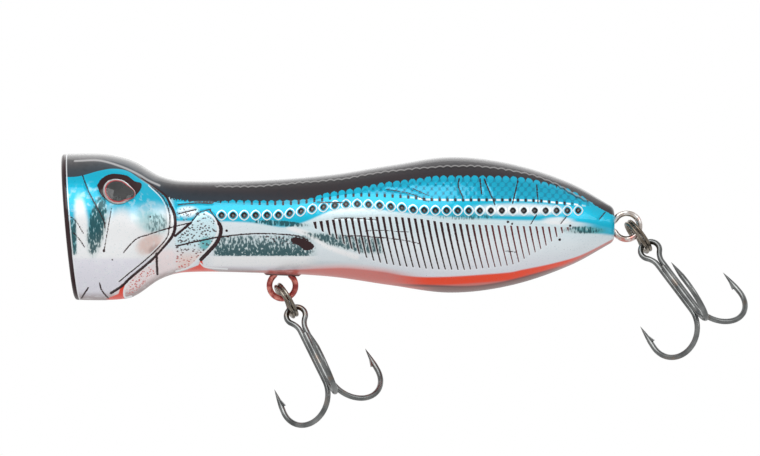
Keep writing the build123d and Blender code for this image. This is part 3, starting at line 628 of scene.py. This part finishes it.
def egg():
    """Points round the eye and the point of its spine that each one faces, in its plane."""
    tilt = math.acos((EYE_LARGE - EYE_SMALL) / EYE_SPREAD)

    def arc(at, radius, start, end, count):
        turn = np.linspace(start, end, count)
        centre = np.stack([np.full(count, at), np.zeros(count)], -1)
        return centre + radius * np.stack([np.cos(turn), np.sin(turn)], -1), centre

    small = arc(EYE_SPREAD / 2, EYE_SMALL, -tilt, tilt, 30)
    large = arc(-EYE_SPREAD / 2, EYE_LARGE, tilt, 2 * math.pi - tilt, 84)
    share = np.linspace(0, 1, 10)[1:-1, None]
    rows = []
    for k in (0, 1):
        up = small[k][-1] + (large[k][0] - small[k][-1]) * share
        down = large[k][-1] + (small[k][0] - large[k][-1]) * share
        rows.append(np.vstack([small[k], up, large[k], down, small[k][:1]]))
    return rows


def onto_skin(points, normal):
    """Moves points along the normal until they lie on the body's form."""
    low = np.full(points.shape[:-1], -SEARCH)
    high = np.full(points.shape[:-1], SEARCH)
    for _ in range(30):
        middle = (low + high) / 2
        at = points + middle[..., None] * normal
        top, bottom, side = np.moveaxis(outline(at[..., 0]), -1, 0)
        across = at[..., 1] / side
        tall = (at[..., 2] - (top - bottom) / 2) / ((top + bottom) / 2)
        outside = across**2 + tall**2 > 1
        high = np.where(outside, middle, high)
        low = np.where(outside, low, middle)
    return points + low[..., None] * normal


def eye_part(name, node, profile, mirrored):
    """A closed egg-shaped piece on the head. profile is (share of the way out, height)."""
    along = side_point(EYE_AT + 1, EYE_UP) - side_point(EYE_AT - 1, EYE_UP)
    up = side_point(EYE_AT, EYE_UP + 1) - side_point(EYE_AT, EYE_UP - 1)
    normal = np.cross(along, up)
    along, normal = along / np.linalg.norm(along), normal / np.linalg.norm(normal)
    up = np.cross(normal, along)
    edge, spine = egg()
    rows = []
    for share, lift in profile:
        flat = spine + (edge - spine) * share
        points = side_point(EYE_AT, EYE_UP) + flat[:, :1] * along + flat[:, 1:] * up
        rows.append(onto_skin(points, normal) + lift * normal)
    points = np.array(rows)
    if mirrored:
        points[..., 1] *= -1
    mesh = bmesh.new()
    add_grid(mesh, points, mirrored)
    piece = add_piece(name, mesh, "lure_body", node)
    co = np.array([v.co for v in piece.data.vertices]) / MM
    flat_rows = points.reshape(-1, 3) + [LIP_X, 0, 0]
    shares = np.repeat([share for share, _ in profile], points.shape[1])
    nearest = np.array([np.argmin(((flat_rows - c) ** 2).sum(1)) for c in co])
    value = shares[nearest]
    store(piece.data, "ring", np.column_stack([value, value, value, value]))
    return piece


def eyes(side, mirrored):
    """The printed eye and the clear dome over it, as (print, dome)."""
    shares = np.linspace(1, 0, EYE_RINGS)
    flat = [(0, -0.2), (0.97, -0.2), *[(share, 0.05) for share in shares]]
    dome = [(share, 0.07) for share in shares[::-1]]
    dome += [(share, DOME_BASE + DOME_RISE * math.sqrt(1 - share**2.4)) for share in shares]
    printed = eye_part(f"printed_eye_{side}", f"eye_print_{side}", flat, mirrored)
    clear = eye_part(f"clear_eye_{side}", f"eye_dome_{side}", dome, mirrored)
    return printed, clear


# --- Materials ---------------------------------------------------------------------


class Graph:
    """A material's node tree, with short calls for the nodes used here."""

    def __init__(self, name):
        self.material = bpy.data.materials.new(name)
        self.material.use_nodes = True
        self.tree = self.material.node_tree
        self.shader = self.tree.nodes["Principled BSDF"]

    def set(self, **values):
        """Constants on the shader's own sockets, spaces in their names as underscores."""
        for key, value in values.items():
            self.shader.inputs[key.replace("_", " ")].default_value = value

    def link(self, value, socket):
        """Joins a value, or sets it if it is a plain number or colour."""
        if isinstance(value, bpy.types.NodeSocket):
            self.tree.links.new(value, socket)
        else:
            socket.default_value = value

    def node(self, kind, inputs=(), **settings):
        made = self.tree.nodes.new(kind)
        for key, value in settings.items():
            setattr(made, key, value)
        for socket, value in dict(inputs).items():
            self.link(value, made.inputs[socket])
        return made

    def math(self, operation, a, b=0.0, c=0.0):
        return self.node("ShaderNodeMath", {0: a, 1: b, 2: c}, operation=operation).outputs[0]

    def times(self, a, b):
        return self.math("MULTIPLY", a, b)

    def plus(self, a, b):
        return self.math("ADD", a, b)

    def minus(self, a, b):
        return self.math("SUBTRACT", a, b)

    def size(self, a):
        return self.math("ABSOLUTE", a)

    def step(self, x, low, high):
        """0 below low and 1 above high, smooth between; the other way if low > high."""
        made = self.node("ShaderNodeMapRange", {0: x}, interpolation_type="SMOOTHSTEP")
        ends = (low, high, 0.0, 1.0) if low < high else (high, low, 1.0, 0.0)
        for k, value in enumerate(ends):
            made.inputs[k + 1].default_value = value
        return made.outputs[0]

    def mix(self, share, a, b, blend="MIX"):
        made = self.node("ShaderNodeMix", data_type="RGBA", blend_type=blend)
        self.link(share, made.inputs[0])
        self.link(a, made.inputs[6])
        self.link(b, made.inputs[7])
        return made.outputs[2]

    def attribute(self, name):
        """A mesh attribute's node."""
        return self.node("ShaderNodeAttribute", attribute_name=name)

    def channels(self, name):
        """The four channels of a mesh attribute."""
        source = self.attribute(name)
        split = self.node("ShaderNodeSeparateColor", {0: source.outputs["Color"]})
        return [*split.outputs[:3], source.outputs["Alpha"]]

    def place(self, scale=(1, 1, 1), turn=(0, 0, 0)):
        """The object's own coordinates, scaled and turned."""
        source = self.node("ShaderNodeTexCoord").outputs["Object"]
        made = self.node("ShaderNodeMapping", {"Vector": source, "Scale": scale, "Rotation": turn})
        return made.outputs[0]

    def noise(self, size, detail=3.0, stretch=(1, 1, 1), turn=(0, 0, 0)):
        """Noise with features about size metres across."""
        scale = tuple(v / size for v in stretch)
        made = self.node("ShaderNodeTexNoise", {"Vector": self.place(scale, turn)})
        made.inputs["Scale"].default_value = 1.0
        made.inputs["Detail"].default_value = detail
        return made.outputs[0]

    def bump(self, height_value, strength, distance_m):
        made = self.node("ShaderNodeBump", {"Height": height_value})
        made.inputs["Strength"].default_value = strength
        made.inputs["Distance"].default_value = distance_m
        self.tree.links.new(made.outputs[0], self.shader.inputs["Normal"])


class WorldGraph(Graph):
    """The same calls on a world's node tree."""

    def __init__(self, name):
        self.world = bpy.data.worlds.new(name)
        self.world.use_nodes = True
        self.tree = self.world.node_tree
        self.shader = self.tree.nodes["Background"]


def opaque(rgb):
    """An RGB colour with alpha 1."""
    return (*[float(v) for v in rgb], 1.0)


def livery_fields(g):
    """The painted fields of the skin, and the noises that roughen their edges."""
    f = SimpleNamespace()
    _, _, _, f.cup = g.channels("wash")
    f.back, f.dark, f.white, f.rib_ends = g.channels("ink")
    f.row, f.near, f.window, f.fibre = g.channels("net")
    f.spot, f.rim, f.zig, f.shine = g.channels("spot")
    f.red, f.tick, f.rib_share, _ = g.channels("mark")
    place = g.node("ShaderNodeSeparateXYZ", {0: g.place()})
    f.s = g.math("MULTIPLY_ADD", place.outputs[0], 1 / MM, -LIP_X)
    f.height_z = place.outputs[2]
    f.grain = g.noise(0.00035, 4.0)
    f.speck = g.minus(f.grain, 0.5)
    f.cloud = g.noise(0.0014, 3.0)
    column = g.math("DIVIDE", f.s, SCALE_LONG)
    f.centre = g.times(g.size(g.minus(column, g.math("ROUND", column))), SCALE_LONG)
    return f


def haze(g, f, colour):
    """Pale clouds and fine grain in the foil of the front."""
    pale = g.times(g.step(f.cloud, 0.50, 0.68), g.step(f.back, -1.0, -4.0))
    pale = g.times(pale, g.times(g.step(f.s, 36.0, 24.0), 0.3))
    colour = g.mix(pale, colour, WHITE_INK)
    return g.mix(g.times(g.step(f.grain, 0.58, 0.68), 0.14), colour, (0.10, 0.36, 0.42, 1))


def crinkles(g, f, colour):
    """The dark hair-like crinkles of the foil with painted white glints, as (colour, where they are)."""
    streak = g.noise(0.00042, 5.0, (1.0, 1.0, 0.34), (0, 0.5, 0))
    level = g.plus(streak, g.math("MULTIPLY_ADD", f.fibre, 0.26, -0.13))
    thread = g.times(g.step(level, 0.43, 0.58), g.step(f.fibre, 0.04, 0.5))
    colour = g.mix(g.times(f.fibre, 0.7), colour, (0.15, 0.36, 0.36, 1))
    colour = g.mix(g.times(thread, 0.9), colour, (0.006, 0.07, 0.085, 1))
    # painted highlights: white glints among the crinkles stand in for the foil's sparkle
    painted_sparkle = g.times(g.step(streak, 0.40, 0.32), g.step(f.fibre, 0.1, 0.5))
    colour = g.mix(g.times(painted_sparkle, 0.55), colour, WHITE_INK)
    return colour, thread


def drops(g, f, colour):
    """Speckles, dark above and red below."""
    cells = g.node("ShaderNodeTexVoronoi", {"Vector": g.place((1 / 0.00060, 1 / 0.00060, 1 / 0.00046))})
    cells.inputs["Scale"].default_value = 1.0
    drop = g.step(cells.outputs["Distance"], 0.44, 0.34)
    some = g.step(g.noise(0.0013), 0.40, 0.48)
    drop = g.times(g.times(drop, some), g.step(f.spot, 0.25, 0.6))
    deep = g.step(f.height_z, -8.2 * MM, -5.0 * MM)
    drop_colour = g.mix(deep, (0.66, 0.09, 0.07, 1), (0.05, 0.010, 0.014, 1))
    return g.mix(g.times(drop, 0.9), colour, drop_colour)


def scale_print(g, f, colour):
    """Outlines of the scales and the gaps between them."""
    gap = g.times(g.step(f.near, SCALE_RADIUS - 0.06, SCALE_RADIUS + 0.10), f.window)
    torn = g.step(g.plus(g.noise(0.0030), g.step(f.s, 88.0, 72.0)), 0.35, 0.75)
    ring_line = g.times(g.step(g.size(g.minus(f.near, 0.66)), 0.17, 0.02), g.times(f.window, 0.60))
    colour = g.mix(ring_line, colour, (0.0, 0.20, 0.34, 1))
    return g.mix(g.times(gap, g.math("MULTIPLY_ADD", torn, 0.85, 0.1)), colour, (0.010, 0.045, 0.070, 1))


def dark_back(g, f, colour):
    """The back, scalloped along the scales and ragged in front."""
    arch = g.minus(SCALLOP_RADIUS**2, g.times(f.centre, f.centre))
    arch = g.math("SQRT", g.math("MAXIMUM", arch, 0.0))
    scallop = g.times(arch, g.times(g.step(f.s, 31.0, 38.0), g.step(f.s, 118.0, 112.0)))
    edge = g.minus(f.back, scallop)
    wild = g.math("MULTIPLY_ADD", g.step(f.s, 40.0, 30.0), 1.6, 0.5)
    wild = g.times(wild, g.step(f.s, 17.0, 24.0))
    back_mask = g.step(g.plus(edge, g.times(f.speck, wild)), -0.08, 0.08)
    back_colour = g.mix(g.step(f.zig, -0.5, 0.6), CHARCOAL, (0.062, 0.058, 0.062, 1))
    blue = g.times(g.step(f.s, 60.0, 36.0), g.step(f.back, 3.5, 0.5))
    back_colour = g.mix(g.times(blue, 0.5), back_colour, (0.022, 0.055, 0.080, 1))
    back_colour = g.mix(g.times(g.step(f.cloud, 0.5, 0.7), 0.35), back_colour, (0.018, 0.026, 0.034, 1))
    return g.mix(back_mask, colour, back_colour)


def back_lines(g, f, colour):
    """The wavy line along the back and a painted highlight on the head."""
    zig_run = g.times(g.step(f.s, 33.0, 34.0), g.step(f.s, 116.0, 112.0))
    zig_near = g.size(f.zig)
    under = g.step(g.size(g.plus(f.zig, 0.35)), 0.32, 0.12)
    colour = g.mix(g.times(under, g.times(zig_run, 0.7)), colour, (0.012, 0.010, 0.012, 1))
    colour = g.mix(g.times(g.step(zig_near, 0.20, 0.06), g.times(zig_run, 0.75)),
                   colour, (0.36, 0.35, 0.35, 1))
    # painted highlight: a light grey line along the head's shoulder in place of a reflection in the clear
    # coat
    return g.mix(g.times(g.step(f.shine, 0.34, 0.06), 0.70), colour, (0.62, 0.61, 0.62, 1))


def dot_print(g, f, colour):
    """The row of dark dots with white rims and a painted grey glint in each."""
    along = g.math("DIVIDE", g.minus(f.s, DOT_FIRST), DOT_PITCH)
    along = g.math("MULTIPLY_ADD", g.times(along, along), DOT_CREEP, along)
    beside = g.times(g.minus(along, g.math("ROUND", along)), DOT_PITCH)
    radius = g.math("SQRT", g.plus(g.times(beside, beside), g.times(f.row, f.row)))
    square = g.plus(g.size(beside), g.size(f.row))
    radius = g.plus(g.times(radius, 0.75), g.times(square, 0.21))
    radius = g.plus(radius, g.times(f.speck, 0.12))
    run = g.times(g.step(f.s, DOT_FIRST - 1.3, DOT_FIRST - 1.2), g.step(f.s, 113.2, 113.1))
    halo = g.step(g.size(g.minus(radius, 1.00)), 0.17, 0.07)
    colour = g.mix(g.times(halo, run), colour, WHITE_INK)
    colour = g.mix(g.times(g.step(radius, 0.74, 0.64), run), colour, (0.008, 0.005, 0.006, 1))
    # painted highlight: a grey glint at the middle of each dot
    return g.mix(g.times(g.step(radius, 0.30, 0.10), g.times(run, 0.8)), colour, (0.17, 0.16, 0.16, 1))


def tick_print(g, f, colour):
    """The white dashes and dark ticks along the scales."""
    white_dash = g.times(g.step(f.centre, 0.52, 0.36), g.step(g.size(f.tick), 0.26, 0.12))
    colour = g.mix(g.times(white_dash, g.times(g.step(f.s, 72.0, 80.0),
                   g.step(f.s, 115.0, 111.0))), colour, WHITE_INK)
    between = g.step(f.centre, 0.54, 0.66)
    tick_high = g.step(g.size(f.tick), 0.42, 0.30)
    tick_run = g.times(g.step(f.s, 38.0, 43.0), g.step(f.s, 113.0, 109.0))
    return g.mix(g.times(g.times(between, tick_high), tick_run), colour, BROWN)


def rib_print(g, f, colour):
    """The leaning ribs of the flank, with a painted white highlight beside them."""
    rise = g.math("MULTIPLY_ADD", f.height_z, 1 / MM, -1.0)
    lean = g.math("MULTIPLY_ADD", rise, -RIB_CURVE, RIB_LEAN)
    stripe = g.math("DIVIDE", g.minus(g.math("MULTIPLY_ADD", rise, lean, f.s), RIB_FIRST), RIB_PITCH)
    stripe = g.times(g.size(g.minus(stripe, g.math("ROUND", stripe))), RIB_PITCH)
    half = g.math("MULTIPLY_ADD", f.rib_share, 0.15, 0.14)
    half = g.times(half, g.math("MULTIPLY_ADD", g.step(f.s, 97.0, 84.0), 0.25, 0.75))
    half = g.math("MULTIPLY_ADD", g.step(f.s, 62.0, 56.0), 0.07, half)
    rib = g.math("MAXIMUM", g.minus(stripe, half), f.rib_ends)
    ragged = g.plus(rib, g.times(f.speck, 0.14))
    rib_colour = g.mix(g.step(f.s, 84.0, 96.0), BROWN, (0.14, 0.030, 0.035, 1))
    # painted highlight: a soft white fringe beside each rib
    colour = g.mix(g.times(g.step(ragged, 0.30, 0.12), 0.45), colour, WHITE_INK)
    return g.mix(g.step(ragged, 0.05, -0.04), colour, rib_colour)


def drawn_marks(g, f, colour):
    """Red patches, painted white highlight lines, dark lines, the lip's edge with a painted highlight
    behind it, and the pale cup.
    """
    colour = g.mix(g.step(f.red, 0.10, -0.15), colour, (0.90, 0.075, 0.04, 1))
    # painted highlight: white lines beside the raised dark lines
    colour = g.mix(g.times(g.step(f.white, 0.05, -0.05), 0.95), colour, WHITE_INK)
    colour = g.mix(g.step(g.plus(f.dark, g.times(f.speck, 0.26)), 0.06, -0.04), colour, BROWN)
    # painted highlight: a thin white line along the rounded lip, just behind its dark band
    rim_highlight = g.step(g.size(g.plus(f.rim, 0.16)), 0.16, 0.06)
    colour = g.mix(g.times(rim_highlight, 0.8), colour, WHITE_INK)
    colour = g.mix(g.step(f.rim, -0.05, 0.05), colour, (0.034, 0.014, 0.016, 1))
    pale_cup = g.mix(g.step(f.cloud, 0.4, 0.7), (0.70, 0.70, 0.75, 1), (0.86, 0.84, 0.88, 1))
    return g.mix(g.step(f.cup, 0.4, 0.6), colour, pale_cup)


def livery_material():
    """Printed foil with dark back, scales, dots, ribs and lines, under a clear coat."""
    g = Graph("printed_foil")
    f = livery_fields(g)
    colour = haze(g, f, g.attribute("wash").outputs["Color"])
    colour, thread = crinkles(g, f, colour)
    for layer in (drops, scale_print, dark_back, back_lines, dot_print, tick_print, rib_print, drawn_marks):
        colour = layer(g, f, colour)
    g.link(colour, g.shader.inputs["Base Color"])

    foil = g.times(g.step(f.back, 0.2, -0.4), g.step(f.dark, -0.1, 0.1))
    g.link(g.times(foil, 0.32), g.shader.inputs["Metallic"])
    g.link(g.math("MULTIPLY_ADD", f.grain, 0.24, 0.20), g.shader.inputs["Roughness"])
    belly = g.step(f.height_z, -8.0 * MM, -12.0 * MM)
    g.link(g.math("MULTIPLY_ADD", belly, -0.75, 1.0), g.shader.inputs["Coat Weight"])
    g.set(Coat_Roughness=0.03, Coat_IOR=1.38, Specular_IOR_Level=0.06)
    ripple = g.plus(g.times(f.cloud, 0.5), g.times(thread, 0.6))
    g.bump(g.times(ripple, foil), 0.30, 0.00008)
    return g.material


def metal(name, dark, light, roughness, wear_size=0.0030, brown=None):
    """Plated or bare wire with drawing marks along it and worn, uneven tone."""
    g = Graph(name)
    tone = g.noise(wear_size, 4.0)
    fine = g.noise(0.00018, 3.0)
    colour = g.mix(g.step(tone, 0.25, 0.80), opaque(dark), opaque(light))
    if brown:
        patch = g.step(g.noise(wear_size * 1.3, 2.0), 0.56, 0.68)
        colour = g.mix(g.times(patch, 0.40), colour, opaque(brown))
    g.link(colour, g.shader.inputs["Base Color"])
    g.link(g.math("MULTIPLY_ADD", fine, 0.16, roughness - 0.06), g.shader.inputs["Roughness"])
    g.set(Metallic=1.0)
    g.bump(fine, 0.06, 0.00002)
    return g.material


def wire_material():
    """Stainless wire, bare at the mouth, red lacquer on the belly loop, tinted at the tail."""
    g = Graph("lacquered_wire")
    split = g.node("ShaderNodeSeparateXYZ", {0: g.place()})
    low = g.step(split.outputs[2], -9.5 * MM, -10.6 * MM)
    wear = g.noise(0.0011, 4.0)
    lacquer = g.mix(g.step(wear, 0.40, 0.66), (0.36, 0.035, 0.03, 1), (0.80, 0.26, 0.20, 1))
    steel = g.mix(g.step(wear, 0.4, 0.6), (0.60, 0.52, 0.47, 1), (0.86, 0.84, 0.82, 1))
    rust = g.step(g.noise(0.0018, 3.0), 0.50, 0.62)
    under = g.step(split.outputs[2], 0.8 * MM, -3.4 * MM)
    tail = g.times(g.step(split.outputs[0], 100 * MM, 112 * MM), rust)
    steel = g.mix(g.times(tail, g.math("MULTIPLY_ADD", under, 0.5, 0.35)), steel,
                  (0.62, 0.16, 0.12, 1))
    g.link(g.mix(low, steel, lacquer), g.shader.inputs["Base Color"])
    g.link(g.minus(1.0, g.times(low, 0.45)), g.shader.inputs["Metallic"])
    g.link(g.math("MULTIPLY_ADD", wear, 0.2, 0.10), g.shader.inputs["Roughness"])
    g.set(Coat_Weight=0.6, Coat_Roughness=0.04)
    g.bump(wear, 0.15, 0.00004)
    return g.material


def eye_print_material():
    """Silver rim, thin red ring and an egg-shaped black pupil with a painted grey sheen."""
    g = Graph("printed_eye")
    ring_at = g.channels("ring")[0]
    # noise for painted glints: it lays grey glints on the black pupil in place of the dome's reflections,
    # and varies the silver's tone
    sheen = g.noise(0.0012, 3.0)
    pupil = g.mix(g.step(sheen, 0.52, 0.74), (0.002, 0.002, 0.003, 1), (0.025, 0.035, 0.035, 1))
    silver = g.mix(g.step(sheen, 0.4, 0.7), (0.74, 0.76, 0.76, 1), (0.95, 0.97, 0.97, 1))
    colour = g.mix(g.step(ring_at, 0.76, 0.79), pupil, (0.70, 0.02, 0.035, 1))
    colour = g.mix(g.step(ring_at, 0.85, 0.88), colour, silver)
    colour = g.mix(g.step(ring_at, 0.97, 0.99), colour, (0.03, 0.02, 0.02, 1))
    g.link(colour, g.shader.inputs["Base Color"])
    g.link(g.times(g.step(ring_at, 0.84, 0.88), 0.5), g.shader.inputs["Metallic"])
    g.set(Roughness=0.25)
    return g.material


def dome_material():
    """Clear resin."""
    g = Graph("clear_resin")
    swirl = g.noise(0.002, 2.0)
    g.link(g.mix(swirl, (0.97, 0.98, 0.98, 1), (1, 1, 1, 1)), g.shader.inputs["Base Color"])
    g.set(Transmission_Weight=1.0, Roughness=0.02, IOR=1.47)
    return g.material


def ballast_material():
    """Dull grey cast metal."""
    g = Graph("dull_ballast")
    tone = g.noise(0.0008, 5.0)
    g.link(g.mix(tone, (0.20, 0.21, 0.22, 1), (0.42, 0.43, 0.44, 1)), g.shader.inputs["Base Color"])
    g.link(g.math("MULTIPLY_ADD", tone, 0.3, 0.4), g.shader.inputs["Roughness"])
    g.set(Metallic=0.9)
    g.bump(tone, 0.3, 0.0001)
    return g.material


def assign(node, material):
    """Gives a CAD node its material in every slot."""
    data = frame["nodes"][node].data
    data.materials.clear()
    data.materials.append(material)


# --- Stage -------------------------------------------------------------------------

FLOOR_Z = -0.30
VIEW_CENTRE = (0.0631, 0.0, -0.0004)
VIEW_WIDTH = 0.1652
VIEW_DISTANCE = 1.3
WORLD_TONES = (                 # height in the world's sphere from 0 to 1, and its grey
    (0.0, 0.26), (0.25, 0.22), (0.42, 0.40), (0.52, 0.62), (0.68, 0.70), (0.86, 0.80), (1.0, 0.50),
)
SOFTBOXES = (                   # place from the object's middle, size and power
    ((-0.25, -0.75, 0.75), 0.7, 3.6),
    ((0.6, -0.55, 0.35), 0.35, 0.7),
    ((0.1, 0.8, 0.5), 0.6, 0.7),
)
SENSOR_MM = 36.0


def pale_floor():
    """The floor under the object."""
    bpy.ops.mesh.primitive_plane_add(size=6.0, location=(VIEW_CENTRE[0], 0, FLOOR_Z))
    floor = bpy.context.active_object
    floor.name = "floor"
    g = Graph("pale_floor")
    g.link(g.mix(g.noise(0.3), (0.74, 0.74, 0.74, 1), (0.78, 0.78, 0.78, 1)), g.shader.inputs["Base Color"])
    g.set(Roughness=0.8, Specular_IOR_Level=0.2)
    floor.data.materials.append(g.material)


def world():
    """White behind the object, with soft grey tones to reflect elsewhere."""
    w = WorldGraph("studio")
    bpy.context.scene.world = w.world
    towards = w.node("ShaderNodeSeparateXYZ", {0: w.node("ShaderNodeTexCoord").outputs["Generated"]})
    _, backwards, upwards = towards.outputs
    ramp = w.node("ShaderNodeValToRGB", {0: w.math("MULTIPLY_ADD", upwards, 0.5, 0.5)})
    stops = ramp.color_ramp.elements
    while len(stops) < len(WORLD_TONES):
        stops.new(0.5)
    for stop, (at, tone) in zip(stops, WORLD_TONES):
        stop.position = at
        stop.color = (tone, tone, tone, 1)
    wall = w.times(w.step(backwards, 0.1, 0.8), w.step(upwards, -0.45, 0.05))
    backdrop = w.mix(wall, ramp.outputs[0], (0.9, 0.9, 0.9, 1))
    seen = w.node("ShaderNodeLightPath").outputs["Is Camera Ray"]
    w.link(w.mix(seen, backdrop, (1, 1, 1, 1)), w.shader.inputs["Color"])
    w.set(Strength=1.0)


def soft_lights():
    """Three square lights round the object."""
    for place, size, power in SOFTBOXES:
        lamp = bpy.data.lights.new("softbox", "AREA")
        lamp.energy = power
        lamp.size = size
        thing = bpy.data.objects.new("softbox", lamp)
        bpy.context.scene.collection.objects.link(thing)
        thing.location = Vector(VIEW_CENTRE) + Vector(place)
        thing.rotation_euler = (-Vector(place)).to_track_quat("-Z", "Y").to_euler()


def camera_view():
    """The camera, level with the object and square to its left side."""
    camera = bpy.data.cameras.new("camera")
    camera.sensor_width = SENSOR_MM
    camera.lens = SENSOR_MM * VIEW_DISTANCE / VIEW_WIDTH
    camera.clip_start, camera.clip_end = 0.01, 20
    eye = bpy.data.objects.new("camera", camera)
    bpy.context.scene.collection.objects.link(eye)
    eye.location = Vector(VIEW_CENTRE) + Vector((0, -VIEW_DISTANCE, 0))
    eye.rotation_euler = (math.pi / 2, 0, 0)
    bpy.context.scene.camera = eye
    bpy.context.scene.view_settings.view_transform = "Standard"


# --- Assembly ----------------------------------------------------------------------

pale_floor()
world()
soft_lights()
camera_view()
livery = livery_material()
printed, clear = eye_print_material(), dome_material()
for side, mirrored in (("left", False), ("right", True)):
    shell(side, mirrored).data.materials.append(livery)
    for piece, material in zip(eyes(side, mirrored), (printed, clear)):
        piece.data.materials.append(material)
black_nickel = metal("black_nickel", (0.12, 0.125, 0.125), (0.30, 0.31, 0.305), 0.20,
                     brown=(0.30, 0.19, 0.12))
bronze = metal("dark_bronze", (0.12, 0.095, 0.07), (0.46, 0.42, 0.36), 0.22)
polished = metal("polished_steel", (0.62, 0.63, 0.65), (0.82, 0.83, 0.85), 0.12)
ballast = ballast_material()
for node in frame["nodes"]:
    if "treble" in node:
        assign(node, black_nickel)
    elif "split_ring" in node:
        assign(node, bronze)
    elif node.startswith("rattle_ball"):
        assign(node, polished)
    elif "weight" in node:
        assign(node, ballast)
assign("through_wire", wire_material())
